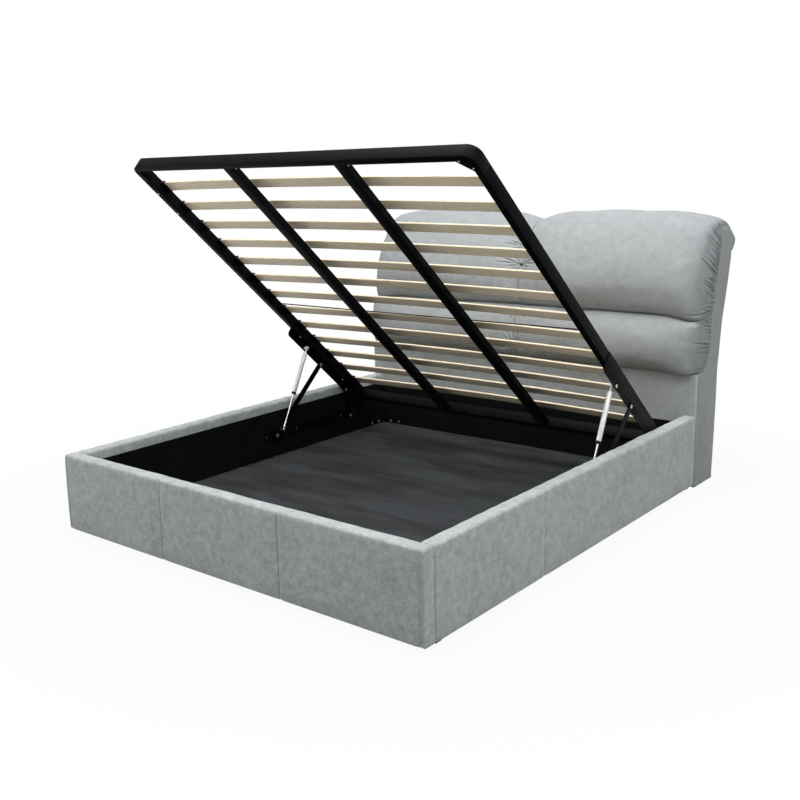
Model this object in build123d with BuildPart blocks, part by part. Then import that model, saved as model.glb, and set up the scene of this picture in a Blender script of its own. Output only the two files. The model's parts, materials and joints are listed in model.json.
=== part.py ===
from build123d import *
from math import cos, hypot, radians, sin
import os

os.makedirs("parts", exist_ok=True)

# An ottoman storage bed: an upholstered box of three panels and a tall cushioned headboard round a storage
# floor, under a sprung slat frame that two gas struts raise on a four-bar linkage. It is modelled raised.
# X runs across the bed, Y from its foot to its headboard and Z up from the room's floor. The origin lies on
# the room's floor, in the middle of the bed's length and width. "Along" is a distance from the lift frame's
# head end towards its foot end, and "rise" is a distance above the lift frame's top face.

# Driving dimensions, in millimetres and degrees
platform_width = 1800
platform_length = 2000
side_gap = 14
foot_gap = 45
head_gap = 8
panel_height = 333
floor_gap = 18
pad_thickness = 20
board_thickness = 36
liner_thickness = 3
wrap_height = 45
soft_edge = 20
headboard_height = 1295
headboard_reach = 420
headboard_overhang = 5
lift_angle = 41.5
lift_setback = 175.4
lift_drop = 11.2
frame_recess = 59.6

# Clearances
seat_gap = 0.3
pin_clearance = 0.05
screw_clearance = 0.05
overrun = 1

# Storage floor, its battens and the feet
floor_board_thickness = 9
floor_fabric_thickness = 2
batten_width = 20
batten_height = 34
bearer_width = 40
floor_board_count = 3
foot_size = 40
front_foot_setback = 41
rear_foot_setback = 30
glide_radius = 12
glide_height = 3
glide_inset = 30

# Corner brackets and their bolts
bracket_leg = 145
bracket_height = 30
bracket_upright_leg = 30
bracket_upright_height = 105
bracket_steel = 3
bracket_bolt_places = (55, 113)
bolt_shank_radius = 3
bolt_head_radius = 7
bolt_head_height = 4
bolt_grip = 20

# Headboard
side_cover_thickness = 12
rib_thickness = 18
headboard_skin = 9
crossrail_width = 60
crossrail_thickness = 18
cushion_split_share = 0.6317
cushion_centre_gap = 0.6
cushion_rear_rise = 2.2

# Lift frame
tube_width = 30
tube_height = 50
tube_wall = 2
frame_corner_radius = 45
foot_bar_leg = 100
head_bar_width = 38
inner_rail_place = 300
inner_rail_width = 50
inner_rail_height = 30
inner_rail_wall = 1.5
lug_steel = 3
lug_height = 20
lug_length = 30
corner_plate_steel = 3
corner_plate_leg = 65
corner_plate_lap = 10

# Slats
slat_count = 13
slat_width = 53
slat_thickness = 8
head_slat_place = 154.7
foot_slat_place = 181.5
slat_end_drop = 10.5
slat_bow = 12.6
slat_end_gap = 4
holder_reach = 22
holder_length = 60
holder_depth = 13
holder_end_gap = 2
holder_top_clearance = 0.8

# Lifting mechanism, whose layers stand between the lift frame and the side rails
plate_steel = 3
bracket_plate_steel = 3.5
link_steel = 5
link_width = 30
layer_gap = 1
front_pivot_along = 411
rear_pivot_along = 147
strut_stud_along = 580
pivot_rise = -75
front_pivot_height = 177
rear_pivot_height = 167
strut_foot_lead = 24
strut_foot_height = 208
base_plate_lead = 90
base_plate_tail = 24
base_plate_foot_height = 158
base_plate_height = 45
base_plate_corner = 8
cheek_length = 70
cheek_lead = 25
cheek_corner = 12
cheek_margin = 17
base_screw_places = (22, 245, 600, 666)
base_screw_length = 30
base_screw_radius = 2.5
base_screw_head_radius = 5
frame_plate_start = 115
frame_plate_end = 727
frame_plate_depth = 88
frame_plate_corner = 20
plate_tab_length = 60
plate_tab_places = (195, 625)
pin_radius = 6
pin_head_radius = 10
pin_head_height = 3
stud_radius = 5
stud_shoulder_radius = 7
flat_head_height = 1.2
stud_cap_radius = 8
strut_eye_radius = 10
strut_eye_width = 12
strut_inset = 20
cylinder_radius = 11
cylinder_bore_radius = 9.2
cylinder_top_gap = 28
cylinder_length = 222
cylinder_wall = 5
gland_length = 10
neck_radius = 5
rod_radius = 4
piston_radius = 9.1
piston_length = 8
piston_margin = 9
rod_collar_radius = 7
rod_collar_length = 13
frame_bolt_head_radius = 5
frame_bolt_head_height = 3.5
frame_bolt_shank_radius = 2.5
frame_bolt_length = 10
left_rail_bolt_places = (319, 180)

# Box of panels
panel_thickness = pad_thickness + board_thickness + liner_thickness
inner_half = platform_width / 2 + side_gap
outer_half = inner_half + panel_thickness
board_outer_half = outer_half - pad_thickness
inner_length = foot_gap + platform_length + head_gap + liner_thickness
overall_length = panel_thickness + inner_length + headboard_reach
foot_y = -overall_length / 2
inner_foot_y = foot_y + panel_thickness
headboard_y = inner_foot_y + inner_length
head_wall_y = headboard_y - liner_thickness
panel_top = floor_gap + panel_height
board_height = panel_height - pad_thickness
batten_top = floor_gap + batten_height
fabric_bottom = batten_top + floor_board_thickness
floor_top = fabric_bottom + floor_fabric_thickness
storage_length = head_wall_y - inner_foot_y
floor_board_length = storage_length / floor_board_count
head_wall_height = panel_height - pad_thickness - floor_gap

# Lift frame, raised and closed
tilt = radians(lift_angle)
closed_head_y = head_wall_y - head_gap
closed_head_z = panel_top - frame_recess
raised_head_y = closed_head_y - lift_setback
raised_head_z = closed_head_z - lift_drop
frame_half = platform_width / 2
frame_inner_half = frame_half - tube_width
toward_head = (0, cos(tilt), -sin(tilt))
toward_foot = (0, -cos(tilt), sin(tilt))
lift_normal = (0, sin(tilt), cos(tilt))
lift_plane = Plane(origin=(0, raised_head_y, raised_head_z), x_dir=(1, 0, 0), z_dir=lift_normal)

# Layers of the mechanism, as distances from the bed's middle plane
bracket_inner = frame_half
bracket_outer = bracket_inner + bracket_plate_steel
base_plate_inner = inner_half - plate_steel
link_outer = base_plate_inner - layer_gap
link_inner = link_outer - link_steel
cheek_inner = bracket_inner + layer_gap / 2
cheek_outer = cheek_inner + plate_steel
strut_x = frame_half - strut_inset
eye_outer = strut_x + strut_eye_width / 2
eye_inner = strut_x - strut_eye_width / 2

sides = ((-1, "left"), (1, "right"))


def save(builder, name):
    """Label one finished piece and write it to its own file."""
    builder.part.label = name
    export_step(builder.part, f"parts/{name}.step")


def low_x(side, inner, outer):
    """X of the lower face of a layer that lies between two distances from the middle plane."""
    return inner if side > 0 else -outer


def raised_point(along, rise):
    """Y and Z of a point of the lift frame when it is raised."""
    y = raised_head_y - along * cos(tilt) + rise * sin(tilt)
    z = raised_head_z + along * sin(tilt) + rise * cos(tilt)
    return y, z


def closed_point(along, rise):
    """Y and Z of the same point when the lift frame is closed."""
    return closed_head_y - along, closed_head_z + rise


def base_pivot(along, rise, height):
    """Y and Z of the pivot at a height that is as far from a frame point raised as it is closed."""
    (raised_y, raised_z), (closed_y, closed_z) = raised_point(along, rise), closed_point(along, rise)
    middle_y, middle_z = (raised_y + closed_y) / 2, (raised_z + closed_z) / 2
    return middle_y - (height - middle_z) * (closed_z - raised_z) / (closed_y - raised_y), height


def section_plane(along):
    """A plane across the raised lift frame, on which a sketch runs in X and rise and extrudes footward."""
    y, z = raised_point(along, 0)
    return Plane(origin=(0, y, z), x_dir=(1, 0, 0), z_dir=toward_foot)


def frame_side_plane(x):
    """A plane along the raised lift frame's side, on which a sketch runs headward and in rise."""
    return Plane(origin=(x, raised_head_y, raised_head_z), x_dir=toward_head, z_dir=(1, 0, 0))


def under_plane(x, along, rise):
    """A plane on a downward face of the raised lift frame, facing out of it."""
    y, z = raised_point(along, rise)
    return Plane(origin=(x, y, z), x_dir=(1, 0, 0), z_dir=(0, -sin(tilt), -cos(tilt)))


def beside_plane(x, along, rise):
    """A plane on a face of the raised lift frame that looks to the right, facing out of it."""
    y, z = raised_point(along, rise)
    return Plane(origin=(x, y, z), x_dir=(0, 1, 0), z_dir=(1, 0, 0))


def link_plane(x, start, end):
    """A plane on a link's face, with its origin at one pivot and its own X towards the other."""
    reach = hypot(end[0] - start[0], end[1] - start[1])
    direction = (0, (end[0] - start[0]) / reach, (end[1] - start[1]) / reach)
    return Plane(origin=(x, *start), x_dir=direction, z_dir=(1, 0, 0)), reach, direction


def cross_pin(side, start, end, place, radius):
    """A round pin across the bed between two distances from its middle plane, added to the open part."""
    with BuildSketch(Plane.YZ.offset(low_x(side, start, end))) as section:
        with Locations(place):
            Circle(radius)
    extrude(section.sketch, amount=end - start)


def drill(planes, radius, depth):
    """Holes of one size from each plane into the open part, against the plane's direction."""
    with BuildSketch(*planes) as holes:
        Circle(radius)
    extrude(holes.sketch, amount=-depth, mode=Mode.SUBTRACT)


front_pivot = base_pivot(front_pivot_along, pivot_rise, front_pivot_height)
rear_pivot = base_pivot(rear_pivot_along, pivot_rise, rear_pivot_height)
front_joint = raised_point(front_pivot_along, pivot_rise)
rear_joint = raised_point(rear_pivot_along, pivot_rise)
strut_top = raised_point(strut_stud_along, pivot_rise)
strut_foot = (front_pivot[0] + strut_foot_lead, strut_foot_height)
base_plate_start = front_pivot[0] - base_plate_lead
base_plate_end = rear_pivot[0] + base_plate_tail


# Where the corner brackets' bolts and the base plates' screws seat

def corner_bolt_planes():
    """A plane at each corner bolt's seat on its wall, facing into the storage space."""
    height = floor_top + seat_gap + bracket_height / 2
    planes = []
    for side, _ in sides:
        for wall_y, inward in ((inner_foot_y, 1), (head_wall_y, -1)):
            for place in bracket_bolt_places:
                on_rail = (side * inner_half, wall_y + inward * place, height)
                on_wall = (side * (inner_half - place), wall_y, height)
                planes.append(Plane(origin=on_rail, x_dir=(0, 1, 0), z_dir=(-side, 0, 0)))
                planes.append(Plane(origin=on_wall, x_dir=(1, 0, 0), z_dir=(0, inward, 0)))
    return planes


def base_screw_planes(side):
    """A plane at each base plate screw's seat on one side rail, facing into the storage space."""
    height = base_plate_foot_height + base_plate_height / 2
    return [
        Plane(
            origin=(side * inner_half, base_plate_start + place, height),
            x_dir=(0, 1, 0),
            z_dir=(-side, 0, 0),
        )
        for place in base_screw_places
    ]


corner_seats = corner_bolt_planes()
base_screw_seats = {name: base_screw_planes(side) for side, name in sides}
corner_hole_radius = bolt_shank_radius + screw_clearance
base_screw_hole_radius = base_screw_radius + screw_clearance


# Foot panel: a board in a padded cover that wraps over its top, with a dark liner inside the storage space

with BuildPart() as foot_panel_cover:
    with BuildSketch(Plane.XY.offset(floor_gap)):
        with Locations((0, foot_y + panel_thickness / 2)):
            Rectangle(2 * outer_half, panel_thickness)
    extrude(amount=panel_height)
    front_corners = foot_panel_cover.edges().filter_by(Axis.Z).group_by(Axis.Y)[0]
    fillet(front_corners + foot_panel_cover.faces().sort_by(Axis.Z)[-1].edges(), soft_edge)
    with BuildSketch(Plane.XY.offset(floor_gap)):
        with Locations((0, foot_y + pad_thickness + board_thickness / 2)):
            Rectangle(2 * board_outer_half, board_thickness)
    extrude(amount=board_height, mode=Mode.SUBTRACT)
    with BuildSketch(Plane.XY.offset(floor_gap)):
        with Locations((0, inner_foot_y - liner_thickness / 2)):
            Rectangle(2 * board_outer_half, liner_thickness)
    extrude(amount=panel_height - wrap_height, mode=Mode.SUBTRACT)
save(foot_panel_cover, "foot_panel_cover")

with BuildPart() as foot_panel_board:
    with BuildSketch(Plane.XY.offset(floor_gap)):
        with Locations((0, foot_y + pad_thickness + board_thickness / 2)):
            Rectangle(2 * board_outer_half, board_thickness)
    extrude(amount=board_height)
    drill(corner_seats, corner_hole_radius, bolt_grip)
save(foot_panel_board, "foot_panel_board")

with BuildPart() as foot_panel_liner:
    with BuildSketch(Plane.XY.offset(floor_gap)):
        with Locations((0, inner_foot_y - liner_thickness / 2)):
            Rectangle(2 * board_outer_half, liner_thickness)
    extrude(amount=panel_height - wrap_height)
    drill(corner_seats, corner_hole_radius, bolt_grip)
save(foot_panel_liner, "foot_panel_liner")


# Side rails: the same board, cover and liner along each side

def side_rail_cover(side):
    """The padded cover of one side rail, wrapped over its top and a little way down inside."""
    with BuildPart() as cover:
        with BuildSketch(Plane.XZ.offset(-headboard_y)) as section:
            with Locations((side * (inner_half + panel_thickness / 2), floor_gap + panel_height / 2)):
                Rectangle(panel_thickness, panel_height)
            fillet(section.vertices().group_by(Axis.Y)[-1], soft_edge)
            board_x = inner_half + liner_thickness + board_thickness / 2
            with Locations((side * board_x, floor_gap + board_height / 2)):
                Rectangle(board_thickness, board_height, mode=Mode.SUBTRACT)
            liner_height = panel_height - wrap_height
            with Locations((side * (inner_half + liner_thickness / 2), floor_gap + liner_height / 2)):
                Rectangle(liner_thickness, liner_height, mode=Mode.SUBTRACT)
        extrude(amount=inner_length)
    return cover


def side_rail_layer(side, name, inner, outer, height):
    """One upright layer of a side rail, drilled for the brackets' bolts and the base plate's screws."""
    with BuildPart() as layer:
        with BuildSketch(Plane.XZ.offset(-headboard_y)):
            with Locations((side * (inner + outer) / 2, floor_gap + height / 2)):
                Rectangle(outer - inner, height)
        extrude(amount=inner_length)
        drill(corner_seats, corner_hole_radius, bolt_grip)
        drill(base_screw_seats[name], base_screw_hole_radius, base_screw_length)
    return layer


for side, name in sides:
    save(side_rail_cover(side), f"side_rail_cover_{name}")
    lined = inner_half + liner_thickness
    save(side_rail_layer(side, name, lined, board_outer_half, board_height), f"side_rail_board_{name}")
    liner = side_rail_layer(side, name, inner_half, lined, panel_height - wrap_height)
    save(liner, f"side_rail_liner_{name}")


# Dark wall board at the headboard end of the storage space

with BuildPart() as head_wall_board:
    with BuildSketch(Plane.XZ.offset(-headboard_y)):
        with Locations((0, floor_gap + head_wall_height / 2)):
            Rectangle(2 * inner_half, head_wall_height)
    extrude(amount=liner_thickness)
    drill(corner_seats, corner_hole_radius, bolt_grip)
save(head_wall_board, "head_wall_board")


# Storage floor: battens along the walls, bearers under the joins, three boards and one fabric cover

with BuildPart() as floor_battens:
    with BuildSketch(Plane.XY.offset(floor_gap)):
        for side, _ in sides:
            with Locations((side * (inner_half - batten_width / 2), inner_foot_y + storage_length / 2)):
                Rectangle(batten_width, storage_length)
        for batten_y in (inner_foot_y + batten_width / 2, head_wall_y - batten_width / 2):
            with Locations((0, batten_y)):
                Rectangle(2 * (inner_half - batten_width) - seat_gap, batten_width)
    extrude(amount=batten_height)
save(floor_battens, "floor_battens")

bearer_places = [
    (0, inner_foot_y + number * floor_board_length) for number in range(1, floor_board_count)
]
with BuildPart() as floor_bearers:
    with BuildSketch(Plane.XY.offset(floor_gap)):
        with Locations(*bearer_places):
            Rectangle(2 * (inner_half - batten_width) - seat_gap, bearer_width)
    extrude(amount=batten_height)
save(floor_bearers, "floor_bearers")

for number, name in enumerate(("foot", "middle", "head")):
    with BuildPart() as floor_board:
        with BuildSketch(Plane.XY.offset(batten_top)):
            with Locations((0, inner_foot_y + (number + 0.5) * floor_board_length)):
                Rectangle(2 * inner_half, floor_board_length)
        extrude(amount=floor_board_thickness)
    save(floor_board, f"floor_board_{name}")

with BuildPart() as floor_fabric:
    with BuildSketch(Plane.XY.offset(fabric_bottom)):
        with Locations((0, inner_foot_y + storage_length / 2)):
            Rectangle(2 * inner_half, storage_length)
    extrude(amount=floor_fabric_thickness)
save(floor_fabric, "floor_fabric")


# Feet under the side rails and the bearers, and glides under the headboard

rail_middle = inner_half + liner_thickness + board_thickness / 2
foot_places = bearer_places + [
    (side * rail_middle, y)
    for side, _ in sides
    for y in (inner_foot_y + front_foot_setback, headboard_y - rear_foot_setback)
]
with BuildPart() as feet:
    with BuildSketch(Plane.XY):
        with Locations(*foot_places):
            Rectangle(foot_size, foot_size)
    extrude(amount=floor_gap)
    chamfer(feet.edges().filter_by(Axis.Z), bolt_head_height)
save(feet, "feet")


# Corner brackets: a low steel angle with an upright leaf in each inner corner

def corner_angle(side, wall_y, inward, leg, height):
    """One steel angle in a corner of the storage space, added to the part that is open."""
    with BuildSketch(Plane.XY.offset(floor_top + seat_gap)) as section:
        with Locations((side * (inner_half - leg / 2), wall_y + inward * leg / 2)):
            Rectangle(leg, leg)
        inset = (leg + bracket_steel) / 2
        with Locations((side * (inner_half - inset), wall_y + inward * inset)):
            Rectangle(leg - bracket_steel, leg - bracket_steel, mode=Mode.SUBTRACT)
    extrude(section.sketch, amount=height)


with BuildPart() as corner_brackets:
    for side, _ in sides:
        for wall_y, inward in ((inner_foot_y, 1), (head_wall_y, -1)):
            corner_angle(side, wall_y, inward, bracket_leg, bracket_height)
            corner_angle(side, wall_y, inward, bracket_upright_leg, bracket_upright_height)
    drill([seat.offset(bracket_steel) for seat in corner_seats], corner_hole_radius, bracket_steel)
save(corner_brackets, "corner_brackets")

with BuildPart() as corner_bolts:
    with BuildSketch(*[seat.offset(bracket_steel) for seat in corner_seats]):
        Circle(bolt_head_radius)
    extrude(amount=bolt_head_height)
    with BuildSketch(*corner_seats):
        Circle(bolt_shank_radius)
    extrude(amount=-bolt_grip + bolt_head_height)
    with BuildSketch(*corner_seats):
        Circle(bolt_shank_radius)
    extrude(amount=bracket_steel)
save(corner_bolts, "corner_bolts")


# Headboard outline, as shares of its reach behind the front plane and of its height above the room's floor

lean_line_shares = ((0.167, 0.4216), (0.310, 0.4927), (0.350, 0.5892), (0.4405, 0.7367), (0.5238, 0.844))
back_line_shares = ((0.869, 0.844), (0.7786, 0.7135), (0.6643, 0.5969), (0.5667, 0.417))
back_foot_share = 0.4857
headboard_foot = glide_height
headboard_half = outer_half + headboard_overhang
cover_inner = headboard_half - side_cover_thickness
pad_y = headboard_y + pad_thickness


def headboard_point(reach_share, height_share):
    """Y and Z of a point of the headboard's side outline."""
    return headboard_y + reach_share * headboard_reach, height_share * headboard_height


lean_line = [headboard_point(*shares) for shares in lean_line_shares]
back_line = [headboard_point(*shares) for shares in back_line_shares]
ledge_height = lean_line[0][1]
back_foot = (headboard_y + back_foot_share * headboard_reach, headboard_foot)
front_line = [(pad_y, headboard_foot), (pad_y, ledge_height)] + lean_line
frame_outline = front_line + back_line + [back_foot]


def lean_y(height):
    """Y of the leaning front panel at a height."""
    for (low_y, low_z), (high_y, high_z) in zip(lean_line, lean_line[1:]):
        if low_z <= height <= high_z:
            return low_y + (height - low_z) * (high_y - low_y) / (high_z - low_z)
    raise ValueError("the height is off the leaning front panel")


# Headboard frame: three ribs, cross rails and the boards round them

def headboard_rib(middle_x):
    """One upright rib, inside the headboard's skin."""
    with BuildPart() as rib:
        with BuildSketch(Plane.YZ.offset(middle_x - rib_thickness / 2)):
            with BuildLine():
                Polyline(*frame_outline, close=True)
            make_face()
            offset(amount=-headboard_skin, kind=Kind.INTERSECTION, mode=Mode.REPLACE)
        extrude(amount=rib_thickness)
    return rib


rib_middle = cover_inner - rib_thickness / 2
for name, middle_x in (("left", -rib_middle), ("centre", 0), ("right", rib_middle)):
    save(headboard_rib(middle_x), f"headboard_rib_{name}")


def skin_strip(points):
    """A board of the headboard's skin, bent along a line of the outline with its thickness inside."""
    with BuildPart() as strip:
        with BuildSketch(Plane.YZ.offset(-cover_inner)):
            with BuildLine():
                Polyline(*points)
                offset(amount=headboard_skin, side=Side.RIGHT, kind=Kind.INTERSECTION)
            make_face()
        extrude(amount=2 * cover_inner)
    return strip


save(skin_strip(front_line), "headboard_front_panel")
save(skin_strip(back_line + [back_foot]), "headboard_back_panel")


def level_board(bottom, front_y, back_y):
    """A level board across the headboard between its front and back panels."""
    with BuildPart() as board:
        with BuildSketch(Plane.XY.offset(bottom)):
            with Locations((0, (front_y + back_y) / 2)):
                Rectangle(2 * cover_inner, back_y - front_y)
        extrude(amount=headboard_skin)
    return board


frame_top = lean_line[-1][1]
cushion_split_height = cushion_split_share * headboard_height
board_run_in = 2 * headboard_skin
top_front_y = lean_y(frame_top - headboard_skin) + board_run_in
top_back_y = back_line[0][0] - board_run_in
bottom_back_y = back_foot[0] - headboard_skin - seat_gap
save(level_board(frame_top - headboard_skin, top_front_y, top_back_y), "headboard_top_board")
bottom_board = level_board(headboard_foot, pad_y + headboard_skin + seat_gap, bottom_back_y)
save(bottom_board, "headboard_bottom_board")

crossrail_heights = (
    headboard_foot + headboard_skin,
    ledge_height - headboard_skin - crossrail_width,
    cushion_split_height,
)
with BuildPart() as headboard_crossrails:
    for height in crossrail_heights:
        front_y = (lean_y(height + crossrail_width) if height > ledge_height else pad_y) + headboard_skin
        with BuildSketch(Plane.XY.offset(height)):
            for side, _ in sides:
                rail_start = rib_thickness / 2
                rail_end = rib_middle - rib_thickness / 2
                with Locations((side * (rail_start + rail_end) / 2, front_y + crossrail_thickness)):
                    Rectangle(rail_end - rail_start, crossrail_thickness)
        extrude(amount=crossrail_width)
save(headboard_crossrails, "headboard_crossrails")

with BuildPart() as headboard_glides:
    with BuildSketch(Plane.XY):
        for side, _ in sides:
            for y in (pad_y + glide_inset, back_foot[0] - glide_inset):
                with Locations((side * rib_middle, y)):
                    Circle(glide_radius)
    extrude(amount=glide_height)
save(headboard_glides, "headboard_glides")


# Headboard upholstery: flat side covers and lower pad, and two rows of cushions with a seam between halves

for side, name in sides:
    with BuildPart() as side_cover:
        with BuildSketch(Plane.YZ.offset(low_x(side, cover_inner, headboard_half))):
            with BuildLine():
                lower_front = [(headboard_y, headboard_foot), (headboard_y, ledge_height)]
                Polyline(*lower_front, *lean_line, *back_line, back_foot, close=True)
            make_face()
        extrude(amount=side_cover_thickness)
    save(side_cover, f"headboard_side_cover_{name}")

with BuildPart() as lower_pad:
    with BuildSketch(Plane.XZ.offset(-pad_y)):
        pad_height = ledge_height - headboard_foot
        with Locations((0, headboard_foot + pad_height / 2)):
            Rectangle(2 * cover_inner, pad_height)
    extrude(amount=pad_thickness)
    drill(corner_seats, corner_hole_radius, bolt_grip)
save(lower_pad, "headboard_lower_pad")

# Each cushion's outside, from its lower crease over its crown to its upper edge, where it is full and where
# a seam draws it in. The shares are of the headboard's reach and height, and each arc has a middle and an end
mid_full_shares = ((-0.012, 0.4220), (-0.155, 0.522), (-0.022, 0.6310))
mid_drawn_shares = ((0.020, 0.4220), (-0.045, 0.520), (0.020, 0.6310))
top_full_shares = (
    (-0.024, 0.6320), (-0.098, 0.714), (-0.012, 0.8155),
    (0.112, 0.896), (0.274, 0.952),
    (0.560, 1.000), (0.845, 0.9745),
    (0.997, 0.907), (0.900, 0.8460),
)
top_drawn_shares = (
    (0.022, 0.6320), (0.010, 0.700), (0.075, 0.790),
    (0.160, 0.862), (0.285, 0.912),
    (0.560, 0.950), (0.810, 0.929),
    (0.945, 0.893), (0.890, 0.8460),
)
# Where the cushions' sections stand across one half, as shares of it, and how full each section is
cushion_stations_shares = ((0.0, 0.0), (0.16, 0.96), (0.5, 1.0), (0.86, 0.96), (1.0, 0.0))


def cushion_outside(full_shares, drawn_shares, fullness):
    """The outside points of a cushion's section at a given fullness."""
    points = []
    for (full_reach, full_height), (drawn_reach, drawn_height) in zip(full_shares, drawn_shares):
        reach = drawn_reach + fullness * (full_reach - drawn_reach)
        height = drawn_height + fullness * (full_height - drawn_height)
        points.append(headboard_point(reach, height))
    return points


def cushion(side, full_shares, drawn_shares, bottom, top, inside):
    """One cushion: a loft across half the headboard, drawn in at its two seams. Its inside is straight."""
    with BuildPart() as pillow:
        for station, fullness in cushion_stations_shares:
            start = cushion_centre_gap / 2
            x = side * (start + station * (headboard_half - start))
            outside = cushion_outside(full_shares, drawn_shares, fullness)
            outside[0] = (outside[0][0], bottom)
            outside[-1] = (outside[-1][0], top)
            with BuildSketch(Plane.YZ.offset(x)):
                with BuildLine():
                    for number in range(0, len(outside) - 1, 2):
                        ThreePointArc(outside[number], outside[number + 1], outside[number + 2])
                    Polyline(outside[-1], *inside, outside[0])
                make_face()
        loft()
    return pillow


def clear_of_lean(point):
    """A point just in front of the leaning front panel."""
    return point[0] - seat_gap, point[1]


split_low = cushion_split_height - seat_gap / 2
split_high = cushion_split_height + seat_gap / 2
mid_bottom = ledge_height + seat_gap
mid_inside = [
    (lean_y(split_low) - seat_gap, split_low),
    clear_of_lean(lean_line[2]),
    clear_of_lean(lean_line[1]),
    (lean_y(mid_bottom) - seat_gap, mid_bottom),
]
roof = frame_top + seat_gap
rear_edge = roof + cushion_rear_rise
top_inside = [
    (lean_line[4][0] - seat_gap, roof),
    clear_of_lean(lean_line[3]),
    (lean_y(split_high) - seat_gap, split_high),
]
for side, name in sides:
    mid_cushion = cushion(side, mid_full_shares, mid_drawn_shares, mid_bottom, split_low, mid_inside)
    save(mid_cushion, f"mid_cushion_{name}")
    top_cushion = cushion(side, top_full_shares, top_drawn_shares, split_high, rear_edge, top_inside)
    save(top_cushion, f"top_cushion_{name}")


# Bolts of the lift frame, each at its place across and along and on the face that it enters

foot_bar_inner = platform_length - tube_width
inner_rail_rise = inner_rail_height / 2 - tube_height
plate_bolt_x = frame_half - tube_width / 2
corner_bolt_reach = corner_plate_lap / 2
frame_bolt_seats = []
for side, name in sides:
    rail_right_face = side * inner_rail_place + inner_rail_width / 2
    frame_bolt_seats.append(beside_plane(rail_right_face, foot_bar_inner - lug_length / 2, inner_rail_rise))
    for start in plate_tab_places:
        tab_bolt = (side * plate_bolt_x, start + plate_tab_length / 2, -tube_height - bracket_plate_steel)
        frame_bolt_seats.append(under_plane(*tab_bolt))
for from_foot in left_rail_bolt_places:
    frame_bolt_seats.append(under_plane(-plate_bolt_x, platform_length - from_foot, -tube_height))
corner_plate_rise = -tube_height - corner_plate_steel
corner_foot_bolt = (frame_inner_half - corner_plate_leg / 2, foot_bar_inner + corner_bolt_reach)
corner_side_bolt = (frame_inner_half + corner_bolt_reach, foot_bar_inner - corner_plate_leg / 2)
for across, along in (corner_foot_bolt, corner_side_bolt):
    frame_bolt_seats.append(under_plane(across, along, corner_plate_rise))
frame_bolt_hole_radius = frame_bolt_shank_radius + screw_clearance


# Lift frame: a bent foot bar with short legs, two side rails, a head bar and two low inner rails, each bolted
# to a lug on the foot bar that stands inside its end

def frame_ring(inset, outer_radius, inner_radius):
    """The outline of the frame's bent tube, drawn in by an inset, added to the sketch that is open."""
    with Locations((0, -platform_length / 2)):
        RectangleRounded(platform_width - 2 * inset, platform_length - 2 * inset, outer_radius)
        RectangleRounded(
            2 * frame_inner_half + 2 * inset,
            platform_length - 2 * tube_width + 2 * inset,
            inner_radius,
            mode=Mode.SUBTRACT,
        )


rail_length = platform_length - foot_bar_leg
bend_inner_radius = frame_corner_radius - tube_width
with BuildPart() as foot_bar:
    with BuildSketch(lift_plane):
        frame_ring(0, frame_corner_radius, bend_inner_radius)
    extrude(amount=-tube_height)
    with BuildSketch(lift_plane.offset(-tube_wall)):
        frame_ring(tube_wall, frame_corner_radius - tube_wall, bend_inner_radius + tube_wall)
    extrude(amount=2 * tube_wall - tube_height, mode=Mode.SUBTRACT)
    split(bisect_by=section_plane(rail_length), keep=Keep.TOP)
    with BuildSketch(section_plane(foot_bar_inner - lug_length)):
        for side, _ in sides:
            lug_face = side * inner_rail_place + inner_rail_width / 2 - inner_rail_wall
            with Locations((lug_face - lug_steel / 2, inner_rail_rise)):
                Rectangle(lug_steel, lug_height)
    extrude(amount=lug_length)
    drill(frame_bolt_seats, frame_bolt_hole_radius, frame_bolt_length)
save(foot_bar, "lift_frame_foot_bar")


def box_tube(middle_x, start, length, width, height, wall, closed_end):
    """A square-edged tube along the lift frame, open or closed at its head end, drilled for its bolts."""
    with BuildPart() as tube:
        with BuildSketch(section_plane(start)):
            with Locations((middle_x, -height / 2)):
                Rectangle(width, height)
        extrude(amount=length)
        hollow_start = start + closed_end
        with BuildSketch(section_plane(hollow_start)):
            with Locations((middle_x, -height / 2)):
                Rectangle(width - 2 * wall, height - 2 * wall)
        extrude(amount=length - closed_end, mode=Mode.SUBTRACT)
        drill(frame_bolt_seats, frame_bolt_hole_radius, frame_bolt_length)
    return tube


for side, name in sides:
    rail_x = side * (frame_half - tube_width / 2)
    rail = box_tube(rail_x, 0, rail_length, tube_width, tube_height, tube_wall, tube_wall)
    save(rail, f"lift_frame_side_rail_{name}")

with BuildPart() as head_bar:
    with BuildSketch(frame_side_plane(-frame_inner_half)):
        with Locations((-head_bar_width / 2, -tube_height / 2)):
            Rectangle(head_bar_width, tube_height)
            Rectangle(head_bar_width - 2 * tube_wall, tube_height - 2 * tube_wall, mode=Mode.SUBTRACT)
    extrude(amount=2 * frame_inner_half)
save(head_bar, "lift_frame_head_bar")

for side, name in sides:
    with BuildPart() as inner_rail:
        with BuildSketch(section_plane(head_bar_width)):
            with Locations((side * inner_rail_place, inner_rail_rise)):
                Rectangle(inner_rail_width, inner_rail_height)
                bore_width = inner_rail_width - 2 * inner_rail_wall
                Rectangle(bore_width, inner_rail_height - 2 * inner_rail_wall, mode=Mode.SUBTRACT)
        extrude(amount=foot_bar_inner - head_bar_width)
        drill(frame_bolt_seats, frame_bolt_hole_radius, frame_bolt_length)
    save(inner_rail, f"lift_frame_inner_rail_{name}")

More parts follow.
